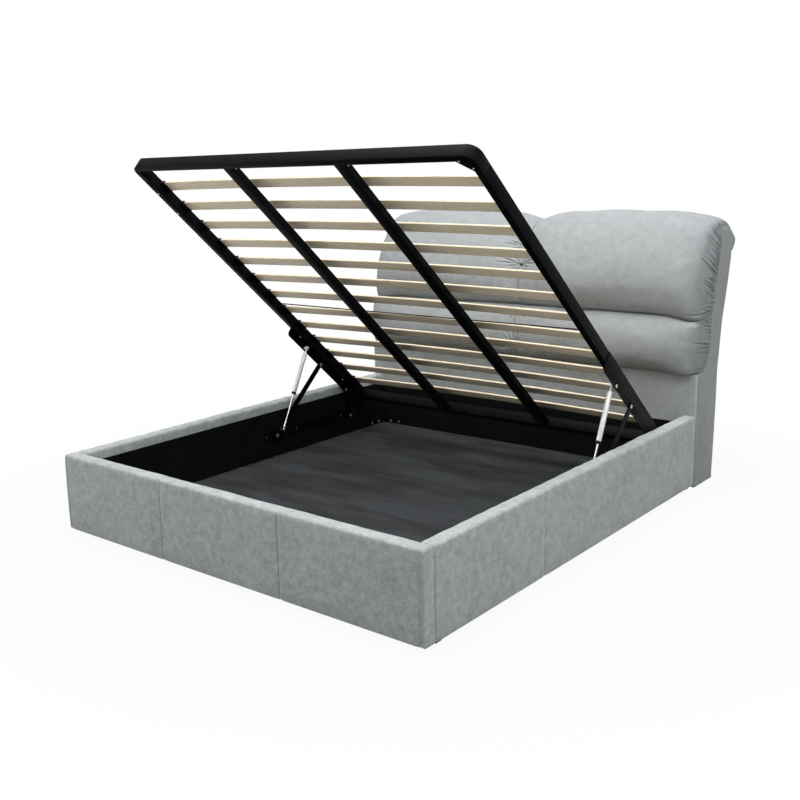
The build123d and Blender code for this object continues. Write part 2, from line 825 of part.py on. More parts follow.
with BuildPart() as corner_plate:
    with BuildSketch(lift_plane.offset(-tube_height)):
        plate_x = frame_inner_half + corner_plate_lap
        plate_along = foot_bar_inner + corner_plate_lap
        foot_corner = (plate_x - corner_plate_leg, -plate_along)
        side_corner = (plate_x, corner_plate_leg - plate_along)
        with BuildLine():
            Polyline((plate_x, -plate_along), foot_corner, side_corner, close=True)
        make_face()
    extrude(amount=-corner_plate_steel)
    drill(frame_bolt_seats, frame_bolt_hole_radius, frame_bolt_length)
save(corner_plate, "lift_frame_corner_plate")


# Slats: bowed boards across the lift frame, with both ends in plastic holders on its side rails

slat_pitch = (platform_length - head_slat_place - foot_slat_place) / (slat_count - 1)
slat_places = [head_slat_place + number * slat_pitch for number in range(slat_count)]
slat_half = frame_inner_half - slat_end_gap
slat_crown = slat_bow - slat_end_drop
with BuildPart() as slats:
    with BuildSketch(*[section_plane(place - slat_width / 2) for place in slat_places]):
        with BuildLine():
            left_end, right_end = (-slat_half, -slat_end_drop), (slat_half, -slat_end_drop)
            left_top, right_top = [(x, slat_thickness - slat_end_drop) for x in (-slat_half, slat_half)]
            ThreePointArc(left_end, (0, slat_crown), right_end)
            Line(right_end, right_top)
            ThreePointArc(right_top, (0, slat_crown + slat_thickness), left_top)
            Line(left_top, left_end)
        make_face()
    extrude(amount=slat_width)
save(slats, "slats")

with BuildPart() as slat_holders:
    holder_middle = frame_inner_half - holder_reach / 2
    with BuildSketch(*[section_plane(place - holder_length / 2) for place in slat_places]):
        with Locations((-holder_middle, -holder_depth / 2), (holder_middle, -holder_depth / 2)):
            Rectangle(holder_reach, holder_depth)
    extrude(amount=holder_length)
    pocket_bottom = -slat_end_drop - seat_gap
    pocket_height = slat_thickness + seat_gap + holder_top_clearance
    pocket_outer = frame_inner_half - holder_end_gap
    pocket_reach = holder_reach - holder_end_gap + overrun
    pocket_middle = pocket_outer - pocket_reach / 2
    pocket_length = slat_width + 2 * seat_gap
    pocket_z = pocket_bottom + pocket_height / 2
    with BuildSketch(*[section_plane(place - pocket_length / 2) for place in slat_places]):
        with Locations((-pocket_middle, pocket_z), (pocket_middle, pocket_z)):
            Rectangle(pocket_reach, pocket_height)
    extrude(amount=pocket_length, mode=Mode.SUBTRACT)
save(slat_holders, "slat_holders")


# Frame plates: the lift frame's half of the mechanism, hung outside its side rails

def frame_plate(side):
    """An upright plate with two tabs under the tube, holed for its pins and bolts."""
    with BuildPart() as plate:
        with BuildSketch(frame_side_plane(low_x(side, bracket_inner, bracket_outer))) as outline:
            middle = -(frame_plate_start + frame_plate_end) / 2
            with Locations((middle, -frame_plate_depth / 2)):
                Rectangle(frame_plate_end - frame_plate_start, frame_plate_depth)
            fillet(outline.vertices().group_by(Axis.Y)[0], frame_plate_corner)
            for along in (front_pivot_along, rear_pivot_along):
                with Locations((-along, pivot_rise)):
                    Circle(pin_radius + pin_clearance, mode=Mode.SUBTRACT)
            with Locations((-strut_stud_along, pivot_rise)):
                Circle(stud_radius + pin_clearance, mode=Mode.SUBTRACT)
        extrude(amount=bracket_plate_steel)
        tab_inner = frame_inner_half
        with BuildSketch(frame_side_plane(low_x(side, tab_inner, bracket_inner))):
            for start in plate_tab_places:
                tab_middle = (-start - plate_tab_length / 2, -tube_height - bracket_plate_steel / 2)
                with Locations(tab_middle):
                    Rectangle(plate_tab_length, bracket_plate_steel)
        extrude(amount=tube_width)
        drill(frame_bolt_seats, frame_bolt_hole_radius, frame_bolt_length)
    return plate


for side, name in sides:
    save(frame_plate(side), f"frame_plate_{name}")

with BuildPart() as frame_bolts:
    with BuildSketch(*frame_bolt_seats):
        RegularPolygon(frame_bolt_head_radius, 6)
    extrude(amount=frame_bolt_head_height)
    with BuildSketch(*frame_bolt_seats):
        Circle(frame_bolt_shank_radius)
    extrude(amount=-frame_bolt_length)
save(frame_bolts, "frame_bolts")


# Pins of the frame plates. The rear links' and struts' pins end just short of the piece that they carry

with BuildPart() as frame_pins:
    for side, _ in sides:
        for place in (front_joint, rear_joint):
            cross_pin(side, bracket_inner - pin_head_height, bracket_inner, place, pin_head_radius)
        cross_pin(side, bracket_inner, link_outer, front_joint, pin_radius)
        cap_end = link_outer + pin_head_height - seat_gap
        cross_pin(side, link_outer + seat_gap, cap_end, front_joint, stud_cap_radius)
        cross_pin(side, link_outer, link_outer + seat_gap, front_joint, pin_radius)
        cross_pin(side, bracket_inner, link_inner - seat_gap, rear_joint, pin_radius)
        cross_pin(side, eye_outer + seat_gap, bracket_inner, strut_top, stud_shoulder_radius)
        cross_pin(side, bracket_inner, bracket_outer, strut_top, stud_radius)
        cross_pin(side, bracket_outer, bracket_outer + flat_head_height, strut_top, stud_cap_radius)
save(frame_pins, "frame_pins")


# Base plates: the box's half of the mechanism, screwed to the side rails inside the storage space

def base_plate(side, name):
    """An upright plate with a cheek in front of it that holds the lever's pin and the strut's stud."""
    with BuildPart() as plate:
        with BuildSketch(Plane.YZ.offset(low_x(side, base_plate_inner, inner_half))):
            middle = (base_plate_start + base_plate_end) / 2
            with Locations((middle, base_plate_foot_height + base_plate_height / 2)):
                RectangleRounded(base_plate_end - base_plate_start, base_plate_height, base_plate_corner)
        extrude(amount=plate_steel)
        cheek_start = front_pivot[0] - cheek_lead
        cheek_height = strut_foot_height + cheek_margin - base_plate_foot_height
        with BuildSketch(Plane.YZ.offset(low_x(side, cheek_inner, cheek_outer))) as cheek:
            cheek_middle = (cheek_start + cheek_length / 2, base_plate_foot_height + cheek_height / 2)
            with Locations(cheek_middle):
                Rectangle(cheek_length, cheek_height)
            fillet(cheek.vertices().group_by(Axis.Y)[-1], cheek_corner)
        extrude(amount=plate_steel)
        with BuildSketch(Plane.YZ.offset(low_x(side, cheek_outer, base_plate_inner))):
            with Locations((cheek_middle[0], base_plate_foot_height + plate_steel / 2)):
                Rectangle(cheek_length, plate_steel)
        extrude(amount=base_plate_inner - cheek_outer)
        across = inner_half - cheek_inner
        with BuildSketch(Plane.YZ.offset(low_x(side, cheek_inner, inner_half))):
            with Locations(front_pivot, rear_pivot):
                Circle(pin_radius + pin_clearance)
            with Locations(strut_foot):
                Circle(stud_radius + pin_clearance)
        extrude(amount=across, mode=Mode.SUBTRACT)
        faces = [seat.offset(plate_steel) for seat in base_screw_seats[name]]
        with Locations(*faces):
            CounterSinkHole(
                base_screw_hole_radius, base_screw_head_radius + screw_clearance, plate_steel + overrun
            )
    return plate


for side, name in sides:
    save(base_plate(side, name), f"base_plate_{name}")


def base_screw(side, seat):
    """One countersunk screw whose head is flush with the base plate, added to the open part."""
    head_depth = base_screw_head_radius - base_screw_radius
    y, z = seat.origin.Y, seat.origin.Z
    face = Plane(origin=(side * base_plate_inner, y, z), x_dir=(0, 1, 0), z_dir=(0, 0, 1))
    with BuildSketch(face) as half:
        with BuildLine():
            Polyline(
                (0, 0), (base_screw_head_radius, 0), (base_screw_radius, -side * head_depth),
                (base_screw_radius, -side * base_screw_length), (0, -side * base_screw_length), close=True,
            )
        make_face()
    revolve(half.sketch, axis=Axis((0, y, z), (1, 0, 0)))


with BuildPart() as base_plate_screws:
    for side, name in sides:
        for seat in base_screw_seats[name]:
            base_screw(side, seat)
save(base_plate_screws, "base_plate_screws")

with BuildPart() as base_pins:
    for side, _ in sides:
        cross_pin(side, cheek_inner, inner_half, front_pivot, pin_radius)
        cross_pin(side, cheek_inner - pin_head_height, cheek_inner, front_pivot, pin_head_radius)
        rear_head_outer = link_inner - seat_gap
        cross_pin(side, rear_head_outer, inner_half, rear_pivot, pin_radius)
        cross_pin(side, rear_head_outer - pin_head_height, rear_head_outer, rear_pivot, pin_head_radius)
        cross_pin(side, eye_inner - seat_gap, cheek_outer, strut_foot, stud_radius)
        cross_pin(side, eye_outer + seat_gap, cheek_inner, strut_foot, stud_shoulder_radius)
        cap_outer = eye_inner - seat_gap
        cross_pin(side, cap_outer - pin_head_height, cap_outer, strut_foot, stud_cap_radius)
save(base_pins, "base_pins")


# Links: a long front lever and a short rear link on each side. The rear link's far end has no hole, because
# its pin ends just short of it

def link(side, start, end, far_hole):
    """One flat link between two pivots, with round ends."""
    plane, reach, _ = link_plane(low_x(side, link_inner, link_outer), start, end)
    with BuildPart() as bar:
        with BuildSketch(plane):
            with Locations((reach / 2, 0)):
                SlotCenterToCenter(reach, link_width)
            hole_places = [(0, 0), (reach, 0)] if far_hole else [(0, 0)]
            with Locations(*hole_places):
                Circle(pin_radius + pin_clearance, mode=Mode.SUBTRACT)
        extrude(amount=link_steel)
    return bar


for side, name in sides:
    save(link(side, front_pivot, front_joint, True), f"front_lever_{name}")
    save(link(side, rear_pivot, rear_joint, False), f"rear_link_{name}")


# Gas struts: a rod whose eye turns on the base plate's stud, in a cylinder that reaches the frame plate

_, strut_length, strut_direction = link_plane(0, strut_foot, strut_top)
cylinder_end = strut_length - cylinder_top_gap
cylinder_start = cylinder_end - cylinder_length
piston_start = cylinder_start + gland_length + piston_margin


def strut_section(side, distance):
    """A plane across one strut at a distance from its foot, facing its top."""
    _, toward_y, toward_z = strut_direction
    origin = (side * strut_x, strut_foot[0] + distance * toward_y, strut_foot[1] + distance * toward_z)
    return Plane(origin=origin, x_dir=(1, 0, 0), z_dir=strut_direction)


def strut_round(side, start, end, radius, mode=Mode.ADD):
    """A round length of one strut, added to or cut from the part that is open."""
    with BuildSketch(strut_section(side, start)) as section:
        Circle(radius)
    extrude(section.sketch, amount=end - start, mode=mode)


def strut_eye(side, place):
    """The flat round eye at one end of a strut."""
    with BuildSketch(Plane.YZ.offset(low_x(side, eye_inner, eye_outer))) as eye:
        with Locations(place):
            Circle(strut_eye_radius)
    extrude(eye.sketch, amount=strut_eye_width)


for side, name in sides:
    with BuildPart() as strut_rod:
        strut_eye(side, strut_foot)
        collar_end = strut_eye_radius + rod_collar_length
        strut_round(side, stud_radius, collar_end, neck_radius)
        strut_round(side, strut_eye_radius, collar_end, rod_collar_radius)
        strut_round(side, strut_eye_radius, piston_start, rod_radius)
        strut_round(side, piston_start, piston_start + piston_length, piston_radius)
        with BuildSketch(Plane.YZ.offset(low_x(side, eye_inner, eye_outer))):
            with Locations(strut_foot):
                Circle(stud_radius + pin_clearance)
        extrude(amount=strut_eye_width, mode=Mode.SUBTRACT)
    save(strut_rod, f"strut_rod_{name}")

    with BuildPart() as strut_cylinder:
        strut_round(side, cylinder_start, cylinder_end, cylinder_radius)
        strut_round(side, cylinder_end, strut_length, neck_radius)
        strut_eye(side, strut_top)
        bore_end = cylinder_end - cylinder_wall
        strut_round(side, cylinder_start + gland_length, bore_end, cylinder_bore_radius, Mode.SUBTRACT)
        strut_round(
            side, cylinder_start, cylinder_start + gland_length, rod_radius + pin_clearance, Mode.SUBTRACT
        )
    save(strut_cylinder, f"strut_cylinder_{name}")
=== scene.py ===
# %% [markdown]
# An ottoman storage bed, dressed step by step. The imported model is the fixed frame: every board, tube, plate,
# link and pin already stands where it belongs. Here the hard parts get rounded edges and real finishes, and
# every upholstered part is built again as the soft thing it is. The bed is shown with its platform raised.

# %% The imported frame
import json
import math

import bpy
import numpy as np
from mathutils import Matrix, Vector

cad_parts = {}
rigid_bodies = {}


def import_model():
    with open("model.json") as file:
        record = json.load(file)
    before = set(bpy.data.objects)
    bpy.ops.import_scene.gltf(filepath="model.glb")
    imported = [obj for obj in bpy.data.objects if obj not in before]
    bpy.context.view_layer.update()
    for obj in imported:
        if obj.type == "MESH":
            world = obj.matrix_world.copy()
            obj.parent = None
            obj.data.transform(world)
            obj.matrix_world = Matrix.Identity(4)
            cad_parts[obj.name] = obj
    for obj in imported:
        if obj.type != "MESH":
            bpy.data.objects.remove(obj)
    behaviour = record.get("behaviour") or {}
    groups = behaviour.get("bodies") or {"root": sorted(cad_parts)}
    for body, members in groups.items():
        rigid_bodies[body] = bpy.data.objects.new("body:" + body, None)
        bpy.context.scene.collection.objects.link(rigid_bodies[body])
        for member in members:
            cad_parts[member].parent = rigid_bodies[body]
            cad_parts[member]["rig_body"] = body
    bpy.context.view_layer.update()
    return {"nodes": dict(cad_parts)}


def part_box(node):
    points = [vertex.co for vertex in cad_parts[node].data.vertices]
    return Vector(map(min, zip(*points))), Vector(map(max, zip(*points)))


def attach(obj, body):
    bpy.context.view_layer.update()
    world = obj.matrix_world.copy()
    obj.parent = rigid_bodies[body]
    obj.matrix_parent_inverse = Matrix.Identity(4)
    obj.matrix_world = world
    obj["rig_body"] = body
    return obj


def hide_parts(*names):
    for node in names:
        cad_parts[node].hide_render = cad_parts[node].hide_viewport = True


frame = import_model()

# %% [markdown]
# The camera stands off the right foot corner, a little above eye height, and looks along the bed towards the
# headboard. Its place could be set by eye, but here it was worked out from the box's straight edges, whose
# real directions are known. A small shift of the lens puts the bed where the picture has it, and the slight
# roll follows a photograph that was not quite level.

# %% Camera
camera_place = (2.8372, -3.7025, 1.5358)
azimuth, elevation, roll = math.radians(40.2), math.radians(10.32), math.radians(-1.61)
back = Vector((
    math.sin(azimuth) * math.cos(elevation),
    -math.cos(azimuth) * math.cos(elevation),
    math.sin(elevation),
))
level_right = Vector((math.cos(azimuth), math.sin(azimuth), 0))
level_up = back.cross(level_right)
camera_right = math.cos(roll) * level_right + math.sin(roll) * level_up
camera_up = -math.sin(roll) * level_right + math.cos(roll) * level_up
camera_data = bpy.data.cameras.new("camera")
camera_data.sensor_width = 36
camera_data.lens = 46.29
camera_data.shift_x, camera_data.shift_y = 0.037, -0.0558
camera = bpy.data.objects.new("camera", camera_data)
bpy.context.scene.collection.objects.link(camera)
camera.matrix_world = Matrix((
    (camera_right.x, camera_up.x, back.x, camera_place[0]),
    (camera_right.y, camera_up.y, back.y, camera_place[1]),
    (camera_right.z, camera_up.z, back.z, camera_place[2]),
    (0, 0, 0, 1),
))
bpy.context.scene.camera = camera
bpy.context.scene.view_settings.view_transform = "Standard"
print("camera at", tuple(round(c, 2) for c in camera.location))

# %% [markdown]
# The helpers below do what a hand does in Blender's window: pick one piece, pick its edges or faces by where
# they lie, round or cut them, add a block at its size, and move points. They are short, so that each later
# step reads as one sentence.

# %% Helpers for picking and making pieces
SIDES = ((-1, "left"), (1, "right"))


def deselect_all():
    """Nothing is selected and Blender is in object mode."""
    if bpy.context.object and bpy.context.object.mode != "OBJECT":
        bpy.ops.object.mode_set(mode="OBJECT")
    bpy.ops.object.select_all(action="DESELECT")


def choose(piece):
    """Only this piece is selected and active."""
    deselect_all()
    piece.select_set(True)
    bpy.context.view_layer.objects.active = piece


def clear_choice(piece, kind):
    """Leaves none of a piece's edges or faces selected."""
    choose(piece)
    bpy.ops.object.mode_set(mode="EDIT")
    bpy.ops.mesh.select_mode(type=kind)
    bpy.ops.mesh.select_all(action="DESELECT")
    bpy.ops.object.mode_set(mode="OBJECT")


def choose_edges(piece, test):
    """Enters edit mode with only those edges selected whose two ends pass the test."""
    clear_choice(piece, "EDGE")
    points = piece.data.vertices
    for edge in piece.data.edges:
        first, second = edge.vertices
        edge.select = test(points[first].co, points[second].co)
    bpy.ops.object.mode_set(mode="EDIT")


def choose_faces(piece, test):
    """Enters edit mode with only those faces selected that pass the test."""
    clear_choice(piece, "FACE")
    for face in piece.data.polygons:
        face.select = test(face)
    bpy.ops.object.mode_set(mode="EDIT")


def round_edges(piece, test, radius):
    """Rounds the edges whose two ends pass the test."""
    choose_edges(piece, test)
    bpy.ops.mesh.bevel(offset=radius, segments=4, profile=0.5)
    bpy.ops.object.mode_set(mode="OBJECT")


def cut_lines(piece, planes):
    """Cuts new edges through a piece on flat planes, each given by a point and a direction."""
    choose(piece)
    bpy.ops.object.mode_set(mode="EDIT")
    for point, direction in planes:
        bpy.ops.mesh.select_all(action="SELECT")
        bpy.ops.mesh.bisect(plane_co=point, plane_no=direction, threshold=0.0002)
    bpy.ops.object.mode_set(mode="OBJECT")


def turn_outwards(piece):
    """Turns all of a piece's faces outwards."""
    choose(piece)
    bpy.ops.object.mode_set(mode="EDIT")
    bpy.ops.mesh.select_all(action="SELECT")
    bpy.ops.mesh.normals_make_consistent(inside=False)
    bpy.ops.object.mode_set(mode="OBJECT")


def fix_place(piece):
    """Puts a piece's place, turn and size into its mesh."""
    choose(piece)
    bpy.ops.object.transform_apply(location=True, rotation=True, scale=True)


def block(name, low, high):
    """A block between two corners."""
    deselect_all()
    low, high = Vector(low), Vector(high)
    bpy.ops.mesh.primitive_cube_add(size=1, location=(low + high) / 2)
    piece = bpy.context.object
    piece.name = piece.data.name = name
    piece.scale = high - low
    fix_place(piece)
    return piece


def rod(name, radius, length, vertices):
    """A rod along Z, with its middle at the origin."""
    deselect_all()
    bpy.ops.mesh.primitive_cylinder_add(vertices=vertices, radius=radius, depth=length, end_fill_type="NGON")
    piece = bpy.context.object
    piece.name = piece.data.name = name
    return piece


def new_piece(name, points, faces):
    """A piece from points and faces."""
    mesh = bpy.data.meshes.new(name)
    mesh.from_pydata(points, [], faces)
    piece = bpy.data.objects.new(name, mesh)
    bpy.context.scene.collection.objects.link(piece)
    return piece


def apply_modifier(piece, kind, **settings):
    """Adds a modifier with its settings and applies it at once."""
    choose(piece)
    modifier = piece.modifiers.new(kind.lower(), kind)
    for setting, value in settings.items():
        setattr(modifier, setting, value)
    bpy.ops.object.modifier_apply(modifier=modifier.name)


def bevel_sharp(piece, radius, degrees, **settings):
    """Rounds all edges sharper than an angle."""
    settings.update(width=radius, limit_method="ANGLE", angle_limit=math.radians(degrees))
    apply_modifier(piece, "BEVEL", **settings)


def smooth(piece, degrees=35):
    """Smooth shading, except over edges sharper than an angle."""
    choose(piece)
    bpy.ops.object.shade_smooth_by_angle(angle=math.radians(degrees))


def places_of(piece):
    """The places of a piece's points, as rows of an array."""
    places = np.empty(len(piece.data.vertices) * 3)
    piece.data.vertices.foreach_get("co", places)
    return places.reshape(-1, 3)


def directions_of(piece):
    """The outward directions at a piece's points."""
    directions = np.empty(len(piece.data.vertices) * 3, np.float32)
    piece.data.vertex_normals.foreach_get("vector", directions)
    return directions.reshape(-1, 3).astype(float)


def move_points(piece, places):
    """Puts a piece's points at new places."""
    piece.data.vertices.foreach_set("co", places.astype(np.float32).ravel())
    piece.data.update()


def swell(places, wavelength, seed):
    """A soft uneven swell between about -1 and 1, the same at every run."""
    draw = np.random.default_rng(seed)
    total = np.zeros(len(places))
    for _ in range(7):
        direction = draw.normal(size=3)
        direction /= np.linalg.norm(direction)
        length = wavelength * draw.uniform(0.7, 1.5)
        total += np.sin(places @ direction * 2 * math.pi / length + draw.uniform(0, 2 * math.pi))
    return total / 4


def body_of(node):
    """The body that a CAD node rides on."""
    return frame["nodes"][node]["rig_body"]


def stand_for(piece, node, slot, *finishes):
    """Gives a piece its finishes, lets it ride where a CAD node does, and shows it in that node's place."""
    piece.data.materials.clear()
    for finish in finishes:
        piece.data.materials.append(finish)
    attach(piece, body_of(node))
    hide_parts(node)


def both(*names):
    """The names of the left and the right node for each name."""
    return [f"{name}_{side}" for name in names for _, side in SIDES]


# %% [markdown]
# Materials are built from nodes. These helpers add a node with its settings and feed its sockets, from
# another node's socket or from a plain value. The rest of them name the few steps that all finishes take:
# noise, a new range, a running total, a colour between two, and a bump.

# %% Helpers for materials
FLOAT, COLOUR, VECTOR = "NodeSocketFloat", "NodeSocketColor", "NodeSocketVector"


def grey(level, tint=(1, 1, 1)):
    """A colour from one level and a tint."""
    return (level * tint[0], level * tint[1], level * tint[2], 1)


def feed(tree, node, inputs):
    """Feeds a node's inputs, each by another node's socket or by a plain value."""
    for socket, value in inputs.items():
        if isinstance(value, bpy.types.NodeSocket):
            tree.links.new(value, node.inputs[socket])
        else:
            node.inputs[socket].default_value = value


def add_node(tree, kind, inputs=None, **settings):
    """A node of one kind, with its settings and its inputs."""
    node = tree.nodes.new(kind)
    for setting, value in settings.items():
        setattr(node, setting, value)
    feed(tree, node, inputs or {})
    return node


def own_place(tree):
    """The piece's own coordinates."""
    return add_node(tree, "ShaderNodeTexCoord").outputs["Object"]


def stretched(tree, place, scale):
    """Coordinates with a scale of their own along X, Y and Z, to draw a pattern out."""
    return add_node(tree, "ShaderNodeMapping", {"Vector": place, "Scale": scale}).outputs["Vector"]


def noise(tree, place, scale, detail, roughness=0.5, distortion=0.0):
    """A cloudy value between 0 and 1."""
    return add_node(tree, "ShaderNodeTexNoise", {
        "Vector": place, "Scale": scale, "Detail": detail, "Roughness": roughness, "Distortion": distortion,
    }).outputs["Fac"]


def ranged(tree, value, low, high, new_low=0.0, new_high=1.0, **settings):
    """A value taken from between two limits to between two new ones."""
    return add_node(tree, "ShaderNodeMapRange", {
        "Value": value, "From Min": low, "From Max": high, "To Min": new_low, "To Max": new_high,
    }, **settings).outputs["Result"]


def add_share(tree, value, share, total=0.0):
    """One value's share, added to a running total."""
    inputs = {0: value, 1: share, 2: total}
    return add_node(tree, "ShaderNodeMath", inputs, operation="MULTIPLY_ADD").outputs[0]


def larger(tree, first, second):
    """The larger of two values."""
    return add_node(tree, "ShaderNodeMath", {0: first, 1: second}, operation="MAXIMUM").outputs[0]


def colour_between(tree, amount, first, second):
    """A colour between two."""
    inputs = {"Factor": amount, "A": first, "B": second}
    return add_node(tree, "ShaderNodeMix", inputs, data_type="RGBA").outputs["Result"]


def bump(tree, height, strength, distance):
    """The surface's direction where a height makes it uneven."""
    inputs = {"Height": height, "Strength": strength, "Distance": distance}
    return add_node(tree, "ShaderNodeBump", inputs).outputs["Normal"]


def new_group(name, inputs, outputs):
    """A shader node group with named inputs and outputs, and its inner input and output nodes."""
    tree = bpy.data.node_groups.new(name, "ShaderNodeTree")
    for socket, kind, value in inputs:
        made = tree.interface.new_socket(name=socket, in_out="INPUT", socket_type=kind)
        if value is not None:
            made.default_value = value
    for socket, kind in outputs:
        tree.interface.new_socket(name=socket, in_out="OUTPUT", socket_type=kind)
    return tree, add_node(tree, "NodeGroupInput").outputs, add_node(tree, "NodeGroupOutput")


def place_group(tree, group, inputs):
    """The outputs of a node group that is placed in a material with its own values."""
    return add_node(tree, "ShaderNodeGroup", inputs, node_tree=group).outputs


def new_finish(name):
    """An empty material with a Principled shader, and the tree and shader to build on."""
    finish = bpy.data.materials.new(name)
    finish.use_nodes = True
    tree = finish.node_tree
    return finish, tree, tree.nodes["Principled BSDF"]

# %% [markdown]
# The cover is a short, dense pile in grey over a coarse weave. Where the pile lies one way or another it
# looks a shade lighter or darker, in soft blotches about a finger wide, and on the cushions the weave shows
# through as faint lines up and across. A flat grey would look like paint. The group mixes blotches, lines
# and a fine fleck from the piece's own coordinates, so every upholstered piece shares one cloth and each
# sets only its own shade, contrast and amount of lines.

# %% Node group for the velvet
velvet_group, velvet_in, velvet_out = new_group(
    "brushed pile",
    [("Dark", COLOUR, grey(0.3)), ("Light", COLOUR, grey(0.4)), ("Blotch Size", FLOAT, 30.0),
     ("Contrast", FLOAT, 1.0), ("Lines", FLOAT, 0.5)],
    [("Color", COLOUR), ("Roughness", FLOAT), ("Height", FLOAT)],
)
place = own_place(velvet_group)
blotches = noise(velvet_group, place, velvet_in["Blotch Size"], detail=8.0, roughness=0.78, distortion=0.4)
broad = noise(velvet_group, place, scale=6.0, detail=3.0, roughness=0.55)
fleck = noise(velvet_group, place, scale=260.0, detail=2.0, roughness=0.6)
upright_lines, level_lines = [
    noise(velvet_group, stretched(velvet_group, place, stretch), scale=1.0, detail=2.0, roughness=0.6)
    for stretch in ((220, 220, 14), (14, 14, 200))
]
weave = add_share(velvet_group, upright_lines, 1.0, level_lines)
weave = add_share(velvet_group, weave, 1.0, -1.0)
tone = add_share(velvet_group, ranged(velvet_group, blotches, 0.34, 0.66), 0.5, -0.575)
for value, share in ((broad, 0.35), (fleck, 0.3), (weave, velvet_in["Lines"])):
    tone = add_share(velvet_group, value, share, tone)
tone = add_share(velvet_group, tone, velvet_in["Contrast"], 0.5)
nap = add_share(velvet_group, blotches, 0.8, fleck)
feed(velvet_group, velvet_out, {
    "Color": colour_between(velvet_group, tone, velvet_in["Dark"], velvet_in["Light"]),
    "Roughness": ranged(velvet_group, blotches, 0.0, 1.0, 0.78, 0.95),
    "Height": add_share(velvet_group, weave, 0.6, nap),
})
print("node group made:", velvet_group.name)

# %% [markdown]
# Three finishes use this cloth. On the box it is brushed into strong light and dark blotches. On the cushions
# and the headboard it lies calmer and shows more of its weave. One finish for all would be simpler, but the
# cushions would look as if they were stretched over board too.

# %% Velvet finishes
def velvet(name, level, tint, contrast, lines, spread, blotch_size, sheen):
    """One shade of the velvet: level is its middle tone and spread how far its blotches leave it."""
    finish, tree, shader = new_finish(name)
    cloth = place_group(tree, velvet_group, {
        "Dark": grey(level * (1 - spread), tint), "Light": grey(level * (1 + spread), tint),
        "Blotch Size": blotch_size, "Contrast": contrast, "Lines": lines,
    })
    feed(tree, shader, {
        "Base Color": cloth["Color"], "Roughness": cloth["Roughness"],
        "Normal": bump(tree, cloth["Height"], strength=0.35, distance=0.0015),
        "Sheen Weight": sheen, "Sheen Roughness": 0.35, "Specular IOR Level": 0.15,
    })
    return finish


# The cushions' and the headboard's middle tones are darker than the box's partly as painted shade, set for how
# the lamps light each part.
box_velvet = velvet(
    "box_velvet", level=0.335, tint=(0.915, 1.0, 0.992),
    contrast=1.15, lines=0.12, spread=0.42, blotch_size=30.0, sheen=0.7,
)
cushion_velvet = velvet(
    "cushion_velvet", level=0.252, tint=(0.925, 0.98, 1.0),
    contrast=0.9, lines=0.35, spread=0.24, blotch_size=24.0, sheen=0.2,
)
headboard_velvet = velvet(
    "headboard_velvet", level=0.28, tint=(0.93, 0.99, 1.0),
    contrast=0.9, lines=0.35, spread=0.22, blotch_size=24.0, sheen=0.3,
)
print("velvet finishes:", box_velvet.name, cushion_velvet.name, headboard_velvet.name)

# %% [markdown]
# The storage space is lined with a thin black cloth, and its floor is covered with charcoal felt that has
# fine pale flecks and soft streaks across the bed. Both are fibre, so they share one group: a dull ground, a
# drifting tone and specks. Only the felt has streaks, drawn out along X by the coordinates.

# %% Node group for felt and lining
felt_group, felt_in, felt_out = new_group(
    "pressed fibre",
    [("Ground", COLOUR, grey(0.05)), ("Fibre", COLOUR, grey(0.1)), ("Streak", FLOAT, 0.3),
     ("Specks", FLOAT, 0.3)],
    [("Color", COLOUR), ("Height", FLOAT)],
)
place = own_place(felt_group)
streaks = noise(
    felt_group, stretched(felt_group, place, (0.9, 3.6, 3.6)), scale=2.6, detail=2.0, distortion=0.3,
)
specks = noise(felt_group, place, scale=420.0, detail=2.0)
amount = add_share(felt_group, ranged(felt_group, streaks, 0.36, 0.66), felt_in["Streak"])
amount = add_share(felt_group, ranged(felt_group, specks, 0.5, 0.72), felt_in["Specks"], amount)
feed(felt_group, felt_out, {
    "Color": colour_between(felt_group, amount, felt_in["Ground"], felt_in["Fibre"]), "Height": specks,
})


def felt(name, ground, fibre, streak, speck):
    """One fibre cloth with its ground, fibre colour, streaks and specks."""
    finish, tree, shader = new_finish(name)
    cloth = place_group(tree, felt_group, {
        "Ground": ground, "Fibre": fibre, "Streak": streak, "Specks": speck,
    })
    feed(tree, shader, {
        "Base Color": cloth["Color"], "Normal": bump(tree, cloth["Height"], strength=0.3, distance=0.0008),
        "Roughness": 0.95, "Specular IOR Level": 0.05,
    })
    return finish


felt_tint, lining_tint = (0.93, 1, 1.07), (0.9, 1, 1.12)
floor_felt = felt("floor_felt", grey(0.023, felt_tint), grey(0.074, felt_tint), streak=0.4, speck=0.35)
lining_cloth = felt(
    "lining_cloth", grey(0.0028, lining_tint), grey(0.009, lining_tint), streak=0.25, speck=0.12,
)
print("fibre finishes:", floor_felt.name, lining_cloth.name)

# %% [markdown]
# The slats are pale birch plywood with a clear coat, and the boards inside the upholstery are chipboard and
# rough softwood. Grain is noise drawn out along the board. One group does it, with the stretch, the two wood
# tones and the amount of grain as inputs. The slats lie on a raised platform, so their mapping is turned by
# its tilt to run along and across them.

# %% Node group for wood
wood_group, wood_in, wood_out = new_group(
    "wood grain",
    [("Vector", VECTOR, None), ("Pale", COLOUR, grey(0.5)), ("Deep", COLOUR, grey(0.3)),
     ("Grain", FLOAT, 40.0)],
    [("Color", COLOUR), ("Height", FLOAT)],
)
figure = noise(wood_group, wood_in["Vector"], scale=5.0, detail=4.0, roughness=0.6, distortion=0.8)
pores = noise(wood_group, wood_in["Vector"], wood_in["Grain"], detail=3.0, roughness=0.7)
grain = add_share(wood_group, pores, 0.4, add_share(wood_group, figure, 0.6))
grain = ranged(wood_group, grain, 0.32, 0.68)
feed(wood_group, wood_out, {
    "Color": colour_between(wood_group, grain, wood_in["Pale"], wood_in["Deep"]), "Height": grain,
})

tilt = math.radians(41.5)


